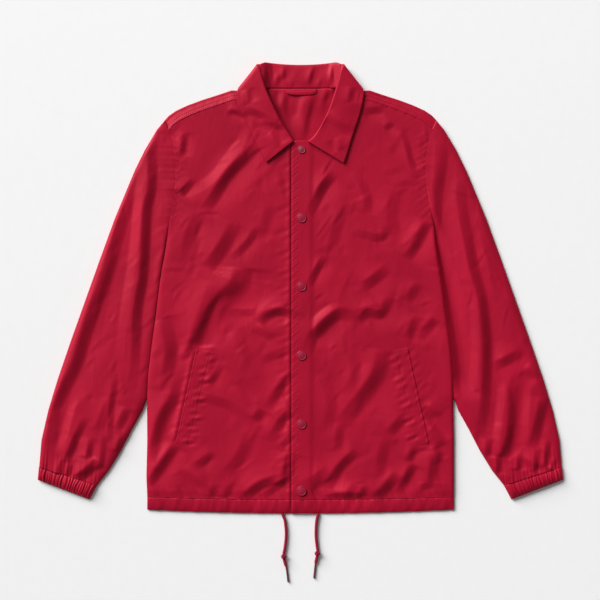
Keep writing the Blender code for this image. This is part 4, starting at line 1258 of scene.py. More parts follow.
@dataclass(frozen=True)
class Back:
    """The back panel: flat on the table, and rolled over each shoulder to its forward seam."""

    lay: Lay
    cloth: float = 1.0
    neck_up: float = 349.5
    flat_up: float = 288.5
    neck_half: float = 72.0
    drop: float = 4.0
    field: FoldField = FoldField.of(BACK_FOLDS)
    neck_field: FoldField = FoldField.of(NECK_FOLDS)

    def plan(self, across: np.ndarray, share_up: np.ndarray) -> tuple[np.ndarray, np.ndarray]:
        """Place in plan of a column and a share of its height, up to the shoulder fold."""
        share = across / COLUMN_END
        up = HEM_UP + share_up * (HEAD_UP - HEM_UP)
        edge = np.where(across < 0, Outline.side_edge(Side.LEFT, up), Outline.side_edge(Side.RIGHT, up))
        x = share * edge
        base = Outline.hem_seam(x)
        top = np.where(
            np.abs(across) < self.neck_half - 0.01,
            self.neck_up,
            Outline.shoulder_up(np.maximum(np.abs(share) * FOLD_END, FOLD_START)),
        )
        return x, base + share_up * (top - base)

    def build(self, cloth: bpy.types.Material) -> bpy.types.Object:
        """Makes the panel from its flat field and the two shoulder rolls, then gives it a wall."""
        outer = clustered(self.neck_half, COLUMN_END, 4.0, False, True)
        inner = np.linspace(-self.neck_half, self.neck_half, 41)
        across = np.concatenate([-outer[::-1], inner[1:-1], outer])
        share_up = np.linspace(0.0, 1.0, 150) * (self.flat_up - HEM_UP) / (HEAD_UP - HEM_UP)
        columns, shares = np.meshgrid(across, share_up)
        x, y = self.plan(columns, shares)
        in_neck = np.abs(columns) < self.neck_half - 0.01
        y = np.where(in_neck, y[0] + (y - y[0]) * (self.neck_up - y[0]) / (y[-1] - y[0]), y)
        half = self.cloth / 2
        pressed = np.clip(self.field.at(x, y), 0.0, 0.9)
        open_neck = soft_step((64.0 - np.abs(x) - (345.0 - y) * 0.62) / 14.0)
        open_neck = open_neck * soft_step((y - 246.0) / 20.0)
        seen = np.clip(1.2 + self.neck_field.at(x, y), 0.0, 3.2) * open_neck
        z = self.lay.collar_lift(x, y) + half + pressed + seen + self.lay.neck_wall(x, y) * open_neck
        grids = [np.stack([x, y, z], axis=-1)]
        for side in (-1, 1):
            picked = np.flatnonzero(side * across >= self.neck_half - 0.01)
            grids.append(self.shoulder_roll(across[picked], grids[0][-1, picked], side))
        return sew("back", cloth, self.cloth, *grids, offset=0.0)

    def over_shoulder(self, front: Side, x: np.ndarray, y: np.ndarray, share: Any) -> np.ndarray:
        """Middle height of the turned edge, from the fold at share 0 to the seam at share 1."""
        lift = 0.45 * soft_step((share - 0.7) / 0.3)
        return self.lay.front_low(front, x, y) + self.lay.cloth / 2 + lift - self.drop * (1.0 - share)

    def shoulder_roll(self, across: np.ndarray, start: np.ndarray, side: int) -> np.ndarray:
        """Grid over a shoulder, from the end of the flat field to the forward seam."""
        fold_x, fold_y = self.plan(across, np.ones(len(across)))
        front = Side.RIGHT if side > 0 else Side.LEFT
        seam_y = Outline.top_up(front, np.abs(across)) - 1.2
        high = self.over_shoulder(front, across, seam_y, 0.0)
        rows = [start]
        for turn in np.linspace(0.0, math.pi, 13)[1:]:
            middle = (start[:, 2] + high) / 2
            tall = (high - start[:, 2]) / 2
            x = start[:, 0] + (fold_x - start[:, 0]) * math.sin(turn)
            y = start[:, 1] + (fold_y - 0.5 - start[:, 1]) * math.sin(turn)
            rows.append(np.stack([x, y, middle - tall * math.cos(turn)], axis=-1))
        for share in np.linspace(0.0, 1.0, 13)[1:]:
            x = start[:, 0] + share * (across - start[:, 0])
            y = start[:, 1] + share * (seam_y - start[:, 1])
            rows.append(np.stack([x, y, self.over_shoulder(front, x, y, share)], axis=-1))
        rows[12] = rows[12] * 0.5 + (rows[11] + rows[13]) * 0.25
        return np.stack(rows)


def gathers(across: np.ndarray, side: Side) -> np.ndarray:
    """Uneven small ridges that elastic draws up, about -1 to 1, at places across a cuff in millimetres."""
    random = np.random.default_rng(31 if side is Side.LEFT else 32)
    total = np.zeros(np.shape(across))
    for pitch, weight in ((5.9, 1.0), (4.3, 0.8), (9.3, 0.6), (3.2, 0.35)):
        phase, drift = random.uniform(0.0, 2.0 * math.pi, 2)
        shift = 0.3 * pitch * np.sin(across / (2.2 * pitch) + drift)
        swell = 0.65 + 0.35 * np.sin(across / (1.3 * pitch) + 2.0 * drift)
        total += weight * swell * np.sin(2 * math.pi * (across + shift) / pitch + phase)
    return total / 1.9


@dataclass(frozen=True)
class Sleeve:
    """One sleeve: a flattened tube from the armhole to the cuff."""

    side: Side
    lay: Lay
    base: float = 3.4
    loft: float = 4.6
    most: float = 6.5
    usual_width: float = 180.0
    under: float = 0.1

    @cached_property
    def field(self) -> FoldField:
        """Creases of this sleeve."""
        if self.side is Side.LEFT:
            small = small_creases((-450.0, -235.0, -330.0, 270.0), 150, 62.0, 20.0, 73)
            return FoldField.of(SLEEVE_LEFT_FOLDS, small)
        small = small_creases((235.0, 450.0, -330.0, 270.0), 150, -66.0, 22.0, 74)
        return FoldField.of(SLEEVE_RIGHT_FOLDS, small)

    def line(self, along: float, share: np.ndarray) -> tuple[np.ndarray, np.ndarray, float]:
        """Plan line across the sleeve.

        Args:
            along: place in the table of sections, counted from the armhole.
            share: 0 at the outer fold and 1 at the inner one.

        Returns:
            Distance from the middle, height up, and the section's loft.
        """
        table = np.asarray(SLEEVE_SECTIONS)
        number = np.arange(len(table))
        outer_up, inner_up, curve, loft = (np.interp(along, number, table[:, k]) for k in range(4))
        outer_x = float(Outline.read(SLEEVE_OUTER_TABLE, outer_up))
        inner_x = float(Outline.sleeve_inner(self.side, inner_up))
        armhole_up = HEAD_UP + share * (PIT_UP - HEAD_UP)
        x = outer_x + share * (inner_x - outer_x)
        y = outer_up + share * (inner_up - outer_up)
        head_x = float(Outline.read(SLEEVE_OUTER_TABLE, HEAD_UP))
        pit_x = float(Outline.sleeve_inner(self.side, PIT_UP))
        straight = head_x + share * (pit_x - head_x)
        return x + curve * (Outline.side_edge(self.side, armhole_up) - 1.0 - straight), y, float(loft)

    def upper(self, along: float, share: np.ndarray) -> tuple[np.ndarray, np.ndarray, np.ndarray]:
        """Upper face on one line across the sleeve.

        Args:
            along: place in the table of sections, counted from the armhole.
            share: 0 at the outer fold and 1 at the inner one.

        Returns:
            Distance from the middle, height up the jacket and height above the table.
        """
        x, y, loft = self.line(along, share)
        tight = (share < 0.5) & (self.side is Side.LEFT)
        edge = self.fold_edge(along, share, np.where(tight, 9.0, 16.0))
        folds = self.field.at(self.side.value * x, y)
        high, low = levelled(folds, self.most, self.loft)
        width = float(np.hypot(x[-1] - x[0], y[-1] - y[0]))
        above_cuff = (len(SLEEVE_SECTIONS) - 1.0 - along) * SECTION_STEP
        drawn = 1.5 * math.exp(-((above_cuff / 26.0) ** 1.3)) * gathers(share * width, self.side)
        fold = self.fold_height(share, y)
        drawn = drawn + self.lay.pucker_relief.at(self.side.value * x, y)
        free = fold + (self.base + self.loft + high + low + drawn - fold) * edge
        if self.side is Side.RIGHT:
            inner = (1.0 - share) * width
            beside = 1.1 + 6.2 * np.clip(1.0 - inner / 15.0, 0.0, 1.0) ** 1.2
            out = soft_step((inner - 20.0) / 30.0)
            out = np.maximum(out, soft_step((-150.0 - y) / 50.0))
            free = np.where(y > -205.0, beside + (free - beside) * out, free)
        seam = self.lay.front_top(self.side.value * Outline.side_edge(self.side, y), y)
        z = seam + loft * (free - seam) - 0.3 * (1.0 - float(soft_step(9.0 * along)))
        return x, y, z

    @staticmethod
    def fold_height(share: np.ndarray, up: np.ndarray) -> np.ndarray:
        """Height of the nearer fold: low at a free edge, higher where the body lies beside it."""
        return 1.9 + 2.1 * (share > 0.5) * by_sleeve(up)

    def fold_edge(self, along: float, share: np.ndarray, roll: Any) -> np.ndarray:
        """0 at a fold, rounding up to 1 at this distance from it."""
        ends_x, ends_y, _ = self.line(along, np.array([0.0, 1.0]))
        width = float(np.hypot(ends_x[1] - ends_x[0], ends_y[1] - ends_y[0]))
        return rounded(np.minimum(share, 1.0 - share) * width, roll)

    def build(self, cloth: bpy.types.Material) -> bpy.types.Object:
        """Makes the tube: rounded at both folds, creased on top, flat on the table."""
        top_share = clustered(0.0, self.usual_width, 2.9, True, True) / self.usual_width
        under_share = np.linspace(1.0, 0.0, 20)[1:-1]
        rows = []
        for along in np.linspace(0.0, len(SLEEVE_SECTIONS) - 1.0, 256):
            x, y, z = self.upper(along, top_share)
            under_x, under_y, loft = self.line(along, under_share)
            flat = self.fold_edge(along, under_share, 8.0)
            fold = self.fold_height(under_share, under_y)
            under_z = self.under + (fold - self.under) * (1.0 - flat) * (0.3 + 0.7 * loft)
            ring_x = self.side.value * np.concatenate([x, under_x])
            ring_y = np.concatenate([y, under_y])
            rows.append(np.stack([ring_x, ring_y, np.concatenate([z, under_z])], axis=-1))
        grid = np.stack(rows)
        if self.side is Side.LEFT:
            grid = grid[:, ::-1]
        return sew(f"sleeve_{self.side.word}", cloth, self.lay.cloth, grid, loop=True)

    def cuff_line(self, inset: float) -> np.ndarray:
        """A line across the upper face, this far above the cuff, in millimetres."""
        along = len(SLEEVE_SECTIONS) - 1.0 - inset / SECTION_STEP
        x, y, z = self.upper(along, np.linspace(0.04, 0.96, 80))
        return np.column_stack([self.side.value * x, y, z + 0.1])


@dataclass(frozen=True)
class Cuff:
    """One cuff: a short tube that elastic gathers into uneven ribs."""

    side: Side
    height: float = 9.6
    rib_height: float = 1.5
    wall: float = 1.2

    def build(self, cloth: bpy.types.Material) -> bpy.types.Object:
        """Makes the gathered tube."""
        outer_top, inner_top, outer_end, inner_end = (np.array(p) for p in CUFF_CORNERS)
        share = clustered(0.0, CUFF_WIDTH, 0.8, True, True) / CUFF_WIDTH
        under = np.linspace(1.0, 0.0, 60)[1:-1]
        middle = self.height * 0.25
        rows = []
        for down in np.linspace(-0.05, 1.0, 25):
            outer = outer_top + down * (outer_end - outer_top)
            inner = inner_top + down * (inner_end - inner_top)
            bulge = 1.0 - 0.4 * max(0.0, 2.0 * down - 0.9) ** 2.2 - 0.2 * max(0.0, 0.9 - 2.0 * down) ** 2.0
            parts = []
            for shares, upper in ((share, True), (under, False)):
                bowed = CUFF_WIDTH * shares + 1.6 * math.sin(math.pi * down) * np.sin(shares * 21.0)
                ribs = gathers(bowed, self.side)
                edge = rounded(np.minimum(shares, 1.0 - shares) * CUFF_WIDTH, 10.0)
                if upper:
                    top = self.height * bulge * (1.0 - 0.12 * np.abs(2 * shares - 1) ** 3)
                    z = middle + (top + self.rib_height * bulge * ribs - middle) * edge
                else:
                    z = middle - (middle - 0.15 - 0.2 * (1 + ribs)) * edge
                place = outer[None] + shares[:, None] * (inner - outer)[None]
                parts.append(np.column_stack([self.side.value * place[:, 0], place[:, 1], z]))
            rows.append(np.concatenate(parts))
        grid = np.stack(rows)
        grid[..., 2] = np.maximum(grid[..., 2], 0.1)
        if self.side is Side.LEFT:
            grid = grid[:, ::-1]
        return sew(f"cuff_{self.side.word}", cloth, self.wall, grid, loop=True)


@dataclass(frozen=True)
class Collar:
    """The collar: a stand up to the roll, and a leaf that turns down over the fronts and the back."""

    lay: Lay
    cloth: float = 1.3
    roll_inset: float = 1.6
    roll_radius: float = 2.5
    edge_lift: float = 2.2
    gap: float = 0.35
    field: FoldField = FoldField.of(COLLAR_FOLDS, deeper=3.4)
    stand_field: FoldField = FoldField.of(STAND_FOLDS)

    def stations(self) -> np.ndarray:
        """Fine stations from the left front round the neck to the right front, with signed X."""
        rows = [self.row(station, -1) for station in COLLAR_LEFT]
        rows.append(self.row(COLLAR_MIDDLE, 1))
        rows += [self.row(station, 1) for station in reversed(COLLAR_RIGHT)]
        return smooth_line(rows, 14 * len(rows))

    @staticmethod
    def row(station: tuple, side: int) -> list[float]:
        """A station as seven numbers: three places in plan and its lean."""
        neck, roll, edge, lean = station
        return [side * neck[0], neck[1], side * roll[0], roll[1], side * edge[0], edge[1], lean]

    def section(self, station: np.ndarray) -> np.ndarray:
        """Points of a section from the neck seam over the roll to the leaf's edge."""
        neck, roll, edge, lean = station[0:2], station[2:4], station[4:6], math.radians(station[6])
        side = 1.0 if roll[0] > 0 else -1.0
        above = (1.0 + math.sin(lean)) / 2.0
        lay_side = Side.RIGHT if side > 0 else Side.LEFT
        seat = float(self.lay.front_low(lay_side, *(np.array([value]) for value in neck))[0])
        neck_z = (1.0 - above) * (2.45 + self.cloth / 2) + above * (seat + self.cloth / 2)
        inset = min(self.roll_inset, 0.45 * np.hypot(*(neck - roll)))
        to_neck, to_edge = unit(neck - roll), unit(edge - roll)
        # The roll stands highest at the side of the neck, and comes down to the placket
        tall = (3.0 if side < 0.0 else 1.4) * above * float(soft_step((roll[1] - 256.0) / 60.0))
        wall = float(self.lay.neck_wall(*roll))
        stand_z = above * max(neck_z, seat + 0.6) + (1.0 - above) * (neck_z + wall) + tall
        neck_z += (1.0 - above) * float(self.lay.neck_wall(*neck))
        roll_z = stand_z + math.sin(lean) * self.roll_radius
        outward = np.array([side * 0.75, 0.66]) * math.cos(lean)
        points = []
        stand_end = roll + to_neck * inset
        for share in np.linspace(0.0, 1.0, 14):
            place = neck + share * (stand_end - neck)
            fold = max(0.0, 1.0 + float(self.stand_field.at(place[:1], place[1:])[0]))
            buckle = (1.0 - above) * (fold * math.sin(math.pi * share))
            points.append((*place, neck_z + share * (stand_z - neck_z) + buckle))
        leaf_start = roll + to_edge * inset + outward * 2 * self.roll_radius
        leaf_z = roll_z + math.sin(lean) * self.roll_radius
        for turn in np.linspace(0.0, math.pi, 8)[1:-1]:
            inner = stand_end + (leaf_start - stand_end) * (1.0 - math.cos(turn)) / 2
            place = inner + (roll - (stand_end + leaf_start) / 2) * math.sin(turn)
            points.append((*place, stand_z + (leaf_z - stand_z) * (1.0 - math.cos(turn)) / 2))
        shares = np.linspace(0.0, 1.0, 26)
        places = leaf_start[None] + shares[:, None] * (edge - leaf_start)[None]
        x, y = places[:, 0], np.minimum(places[:, 1], 344.0)
        rest = self.lay.front_top(x, y) + self.gap + self.cloth / 2 + self.edge_lift
        rest = above * rest + (1.0 - above) * (self.cloth / 2 + 0.05)
        sink = np.exp(-shares * np.hypot(*(edge - roll)) / 16.0)
        if above < 0.5:
            z = rest + sink * (leaf_z - rest[0])
        else:
            z = np.maximum(rest, rest + (1.0 - shares if above > 0.5 else sink) * (leaf_z - rest))
        folds = self.field.at(x, places[:, 1]) if above > 0.9 else np.zeros(len(x))
        z = z + np.maximum(folds, -1.6) + 0.5 * above * np.sin(math.pi * shares) ** 2
        points += [(px, py, pz) for (px, py), pz in zip(places, z)]
        return np.array(points)

    def build(self, cloth: bpy.types.Material) -> bpy.types.Object:
        """Makes the band and gives it a wall."""
        sections = np.stack([self.section(station) for station in self.stations()])
        sections[..., 2] = np.maximum(sections[..., 2], self.cloth / 2 + 0.02)
        return sew("collar", cloth, self.cloth, sections[:, ::-1], offset=0.0)

    def edge_line(self, inset: float) -> list[np.ndarray]:
        """Lines on the two leaves, this far in from their edges, in millimetres."""
        fine = self.stations()
        lines = []
        for side in (-1, 1):
            chosen = fine[(np.sign(fine[:, 2]) == side) & (fine[:, 6] > 88.0)]
            if side > 0:
                chosen = chosen[::-1]
            outer = []
            front_roll, front_edge = chosen[0][2:4], chosen[0][4:6]
            along_front = unit(front_edge - front_roll)
            inward = unit(chosen[1][4:6] - chosen[0][4:6])
            start = front_roll + along_front * 5.0 + inward * inset
            corner = front_edge - along_front * inset + inward * inset
            for share in np.linspace(0.0, 1.0, 20):
                outer.append(start + share * (corner - start))
            for row in chosen[6:]:
                outer.append(row[4:6] + unit(row[2:4] - row[4:6]) * inset)
            places = np.array(outer)
            x, y = places.T
            z = self.lay.front_top(x, y) + self.gap + self.cloth + self.edge_lift + 0.3
            lines.append(np.column_stack([places, z + np.maximum(self.field.at(x, y), -1.6)]))
        return lines


class Casing(Enum):
    """A length of the hem casing."""

    BACK = "hem_back"
    LEFT = "hem_left"
    RIGHT = "hem_right"


@dataclass(frozen=True)
class HemCasing:
    """One length of the casing that the drawcord runs in, soft and slightly puffed."""

    casing: Casing
    lay: Lay
    wall: float = 1.0
    puff: float = 0.8
    back_top: float = 1.15
    back_wall: float = 1.1

    def build(self, cloth: bpy.types.Material) -> bpy.types.Object:
        """Makes the casing as a shell from its seam to its lower edge."""
        start, end = {
            Casing.BACK: (-HEM_HALF, HEM_HALF),
            Casing.LEFT: (-HEM_HALF, -PLACKET_X),
            Casing.RIGHT: (PLACKET_X, HEM_HALF),
        }[self.casing]
        across = clustered(start, end, 2.4, True, True)
        down = 1.0 - clustered(0.0, CASING_HEIGHT, 1.6, False, True) / CASING_HEIGHT
        x, d = np.meshgrid(across, 1.0 - np.append(down[:-1], 0.0))
        seam = Outline.hem_seam(x) + 0.3
        y = seam + d * (Outline.hem_edge(x) - seam)
        if self.casing is Casing.BACK:
            z = np.full(x.shape, self.back_top)
        else:
            side = Side.LEFT if self.casing is Casing.LEFT else Side.RIGHT
            at_seam = self.lay.front_low(side, x, seam) + self.lay.cloth
            if side is Side.RIGHT:
                at_seam = at_seam + self.lay.placket_extra(x)
            random = np.random.default_rng(51 if side is Side.LEFT else 52)
            ripple = np.zeros(x.shape)
            for spacing, weight in ((37.0, 1.0), (22.0, 0.8), (13.0, 0.45), (8.5, 0.2)):
                phase = random.uniform(0.0, 2.0 * math.pi)
                lean = random.uniform(-0.5, 0.5)
                ripple += weight * np.sin(2 * math.pi * (x + lean * (y - seam)) / spacing + phase)
            closed = rounded(np.minimum(x - start, end - x), 5.0)
            over = 1.0 if side is Side.RIGHT else 0.0
            near = soft_step((30.0 - np.abs(x)) / 14.0)
            rest = 2.6 + 1.3 * near * over - 0.4 * near * (1.0 - over)
            tall = at_seam + d * (rest + self.puff - at_seam)
            tall = tall + (0.32 * ripple * (0.35 + 0.65 * d) + self.puff * np.sin(math.pi * d)) * closed
            tall = np.maximum(tall, rest)
            y = y - d * (0.6 + 0.14 * np.clip(ripple, -2.0, 2.0))
            z = rest + (tall - rest) * rounded(1.0 - d, 0.28) - 0.08 * (d < 0.02)
        wall = self.back_wall if self.casing is Casing.BACK else self.wall
        return sew(self.casing.value, cloth, wall, np.stack([x, y, z], axis=-1)[::-1])


@dataclass(frozen=True)
class Welt:
    """A slanted pocket welt, folded from the shell cloth and stitched down."""

    side: Side
    lay: Lay
    thick: float = 1.1
    wall: float = 0.6
    gap: float = 0.15

    @property
    def corners(self) -> np.ndarray:
        """Outer top, inner top, inner end and outer end in plan."""
        return np.array(WELT_LEFT if self.side is Side.LEFT else WELT_RIGHT)

    def place(self, across: np.ndarray, down: np.ndarray) -> tuple[np.ndarray, np.ndarray]:
        """Plan place from shares across, from the outer edge, and down."""
        a, b, c, d = self.corners
        outer = a + down[..., None] * (d - a)
        inner = b + down[..., None] * (c - b)
        found = outer + across[..., None] * (inner - outer)
        return found[..., 0], found[..., 1]

    def build(self, cloth: bpy.types.Material) -> bpy.types.Object:
        """Makes the welt with rounded edges, following the front beneath it."""
        across = clustered(0.0, WELT_WIDTH, 1.8, True, True) / WELT_WIDTH
        down = clustered(0.0, WELT_LENGTH, 2.2, True, True) / WELT_LENGTH
        u, v = np.meshgrid(across, down)
        x, y = self.place(u, v)
        from_end = np.minimum(v, 1 - v) * WELT_LENGTH
        inset = np.minimum(np.minimum(u, 1 - u) * WELT_WIDTH, from_end)
        edge = rounded(inset, 1.6)
        # The welt is sewn down along its inner edge and both ends, and stands open at its outer edge
        sewn = (1.0 - 0.9 * u) * (0.3 + 0.7 * soft_step(from_end / 6.0))
        z = self.lay.front_top(x, y) + self.gap + self.thick * (0.35 + 0.65 * edge) * sewn
        z = z - 0.28 * np.exp(-(((inset - 3.4) / 0.9) ** 2))
        grid = np.stack([x, y, z], axis=-1)[::-1]
        if self.side is Side.RIGHT:
            grid = grid[:, ::-1]
        return sew(f"welt_{self.side.word}", cloth, self.wall, grid)

    def stitch_lines(self, inset: float) -> list[np.ndarray]:
        """A line this far inside the two ends and the inner edge."""
        u, v = inset / WELT_WIDTH, inset / WELT_LENGTH
        loop = [(u, v), (1 - u, v), (1 - u, 1 - v), (u, 1 - v)]
        lines = []
        for (u0, v0), (u1, v1) in zip(loop, loop[1:]):
            shares = np.linspace(0.0, 1.0, 60 if abs(v1 - v0) > 0.5 else 10)
            across = u0 + shares * (u1 - u0)
            x, y = self.place(across, v0 + shares * (v1 - v0))
            z = self.lay.front_top(x, y) + self.gap + self.thick * (1.0 - 0.9 * across) + 0.1
            lines.append(np.column_stack([x, y, z]))
        return lines


@dataclass(frozen=True)
class HangerLoop:
    """A narrow folded loop, tacked down at both ends at the back neck."""

    lay: Lay
    line: tuple[Plan, ...] = ((-25.0, 343.5), (-15.0, 340.8), (2.0, 340.0), (19.0, 340.8), (28.5, 343.5))
    width: float = 8.0
    seat: float = 3.2
    wall: float = 0.9

    def build(self, cloth: bpy.types.Material) -> bpy.types.Object:
        """Makes the loop, standing a little off the back between its tacks."""
        line = smooth_line(self.line, 46)
        share = np.linspace(0.0, 1.0, len(line))
        off = 1.6 * np.sin(math.pi * share) ** 0.8
        rows = []
        for across in np.linspace(-1.0, 1.0, 11):
            round_off = 0.7 * math.sqrt(max(0.0, 1.0 - across**2))
            y = line[:, 1] + across * self.width / 2
            rows.append(np.column_stack([line[:, 0], y, self.seat + 0.7 + off + round_off]))
        return sew("hanger_loop", cloth, self.wall, np.stack(rows))

    def stitch_lines(self) -> list[np.ndarray]:
        """Two tacks across each end."""
        lines = []
        for x in (-24.0, -22.0, 25.0, 27.0):
            y = np.linspace(339.5, 346.0, 8)
            lines.append(np.column_stack([np.full(8, x), y, np.full(8, self.seat + 1.75)]))
        return lines


@dataclass(frozen=True)
class SnapCap:
    """A pressed snap cap: rolled rim, shallow groove and low dome."""

    number: int
    up: float
    radius: float
    lay: Lay
    across: float = 1.8
    sides: int = 64

    def build(self, enamel: bpy.types.Material) -> bpy.types.Object:
        """Spins the cap's profile into a closed shape on the placket."""
        fine = smooth_line(SNAP_PROFILE, 44)
        seat = float(self.lay.front_top(np.array([self.across]), np.array([self.up]))[0])
        angle = np.linspace(0.0, 2.0 * math.pi, self.sides, endpoint=False)
        ring = np.stack([np.cos(angle), np.sin(angle)], axis=-1)
        share = np.maximum(fine[:-1, 0], 0.0)
        plan = self.radius * share[:, None, None] * ring[None]
        high = np.broadcast_to(fine[:-1, 1, None, None], plan[..., :1].shape)
        rows = np.concatenate([plan, high], axis=-1) + np.array([self.across, self.up, seat])
        made = grid_object(f"metal_snap_{self.number}", rows, loop=True)
        seal(made)
        return ride(dress(made, enamel), "snap_cap", f"snap_{self.number}")


def tube_object(name: str, path: np.ndarray, radii: np.ndarray, sides: int = 20) -> bpy.types.Object:
    """A round tube with closed ends and a UV map of real lengths along and around it.

    Args:
        name: the object's name.
        path: places of its centreline, in millimetres.
        radii: its radius at each place.
        sides: points around it.

    Returns:
        The tube.
    """
    along = unit(np.gradient(path, axis=0))
    across = unit(np.cross(along, (0.0, 0.0, 1.0)))
    upward = np.cross(across, along)
    angle = np.linspace(0.0, 2.0 * math.pi, sides, endpoint=False)
    wide = radii[:, None, None]
    rings = path[:, None] + wide * (np.cos(angle)[None, :, None] * across[:, None])
    rings = rings + wide * (np.sin(angle)[None, :, None] * upward[:, None])
    around = np.linspace(0.0, 2.0 * math.pi * float(radii.max()) * MM, sides + 1)
    u, v = np.meshgrid(run_along(path) * MM, around, indexing="ij")
    made = grid_object(name, rings, loop=True, uv=np.stack([u, v], axis=-1))
    seal(made)
    return made


@dataclass(frozen=True)
class CordEnd:
    """One free end of the drawcord: the cord, its overhand knot and its bound tip."""

    side: Side
    radius: float = 2.5
    up: float = 2.7
    knot_radius: float = 4.7
    knot_spread: float = 1.08
    knot_rise: float = 1.7
    strand: float = 2.1
    length_m: float = 0.07

    @property
    def routes(self) -> tuple[tuple[Plan, ...], tuple[Plan, ...]]:
        """The routes of the cord and of its tip in plan."""
        return (CORD_LEFT, TIP_LEFT) if self.side is Side.LEFT else (CORD_RIGHT, TIP_RIGHT)

    def build(self, cord: bpy.types.Material, tip: bpy.types.Material) -> None:
        """Makes the cord, the knot and the tip."""
        route, tip_route = self.routes
        plan = smooth_line(route, 44)
        path = np.column_stack([plan, np.full(len(plan), self.up)])
        made = tube_object(f"braid_cord_{self.side.word}", path, np.full(len(path), self.radius))
        ride(dress(made, cord), "drawcord", f"cord_{self.side.word}")
        knot = self.knot(np.array(route[-1]), np.array(tip_route[0]), cord)
        end = self.tip(tip_route, cord, tip)

    def knot(self, start: np.ndarray, end: np.ndarray, cord: bpy.types.Material) -> bpy.types.Object:
        """Makes a pulled-tight overhand knot between the cord and its tip."""
        middle = (start + end) / 2
        along = unit(end - start)
        turn = np.linspace(0.0, 2.0 * math.pi, 140, endpoint=False)
        # A trefoil, across and along the cord and up
        aside = (np.sin(turn) + 2.0 * np.sin(2.0 * turn)) * self.knot_spread
        ahead = (np.cos(turn) - 2.0 * np.cos(2.0 * turn)) * self.knot_spread
        x = middle[0] + aside * along[1] + ahead * along[0]
        y = middle[1] - aside * along[0] + ahead * along[1]
        path = np.column_stack([x, y, self.knot_radius + 0.1 - np.sin(3.0 * turn) * self.knot_rise])
        step = unit(np.roll(path, -1, axis=0) - np.roll(path, 1, axis=0))
        out = path - path.mean(axis=0)
        out = unit(out - np.sum(out * step, axis=1)[:, None] * step)
        other = np.cross(step, out)
        angle = np.linspace(0.0, 2.0 * math.pi, 16, endpoint=False)
        ring = np.cos(angle)[None, :, None] * out[:, None] + np.sin(angle)[None, :, None] * other[:, None]
        grid = path[:, None] + self.strand * ring
        grid = np.concatenate([grid, grid[:1]])
        run = np.linspace(0.0, 0.07, len(grid))
        u, v = np.meshgrid(run, np.linspace(0.0, 2 * math.pi * 1.95 * MM, 17), indexing="ij")
        made = grid_object(f"braid_knot_{self.side.word}", grid, loop=True, uv=np.stack([u, v], axis=-1))
        seal(made, weld=True)
        return ride(dress(made, cord), "drawcord", f"knot_{self.side.word}")

    def tip(
        self, route: tuple[Plan, ...], cord: bpy.types.Material, tip: bpy.types.Material
    ) -> bpy.types.Object:
        """Makes the length beyond the knot: cord, then a thin hard end."""
        plan = smooth_line(route, 60)
        share = np.linspace(0.0, 1.0, len(plan))
        radii = self.radius * (1.0 + 0.06 * np.sin(math.pi * share / 0.5) * (share < 0.5))
        radii = radii - self.radius * 0.36 * soft_step((share - 0.42) / 0.1)
        radii = radii * np.sqrt(np.clip(1.0 - ((share - 0.985) / 0.02).clip(0.0, 1.0) ** 2, 0.05, 1.0))
        path = np.column_stack([plan, 0.2 + radii.clip(1.6, None)])
        made = tube_object(f"braid_tip_{self.side.word}", path, radii)
        dress(made, cord)
        made.data.materials.append(tip)
        half = np.array(route[1]) * 0.3 + np.array(route[2]) * 0.7
        for face in made.data.polygons:
            if face.center.y < half[1] * MM:
                face.material_index = 1
        return ride(made, "cord_tip", f"tip_{self.side.word}")


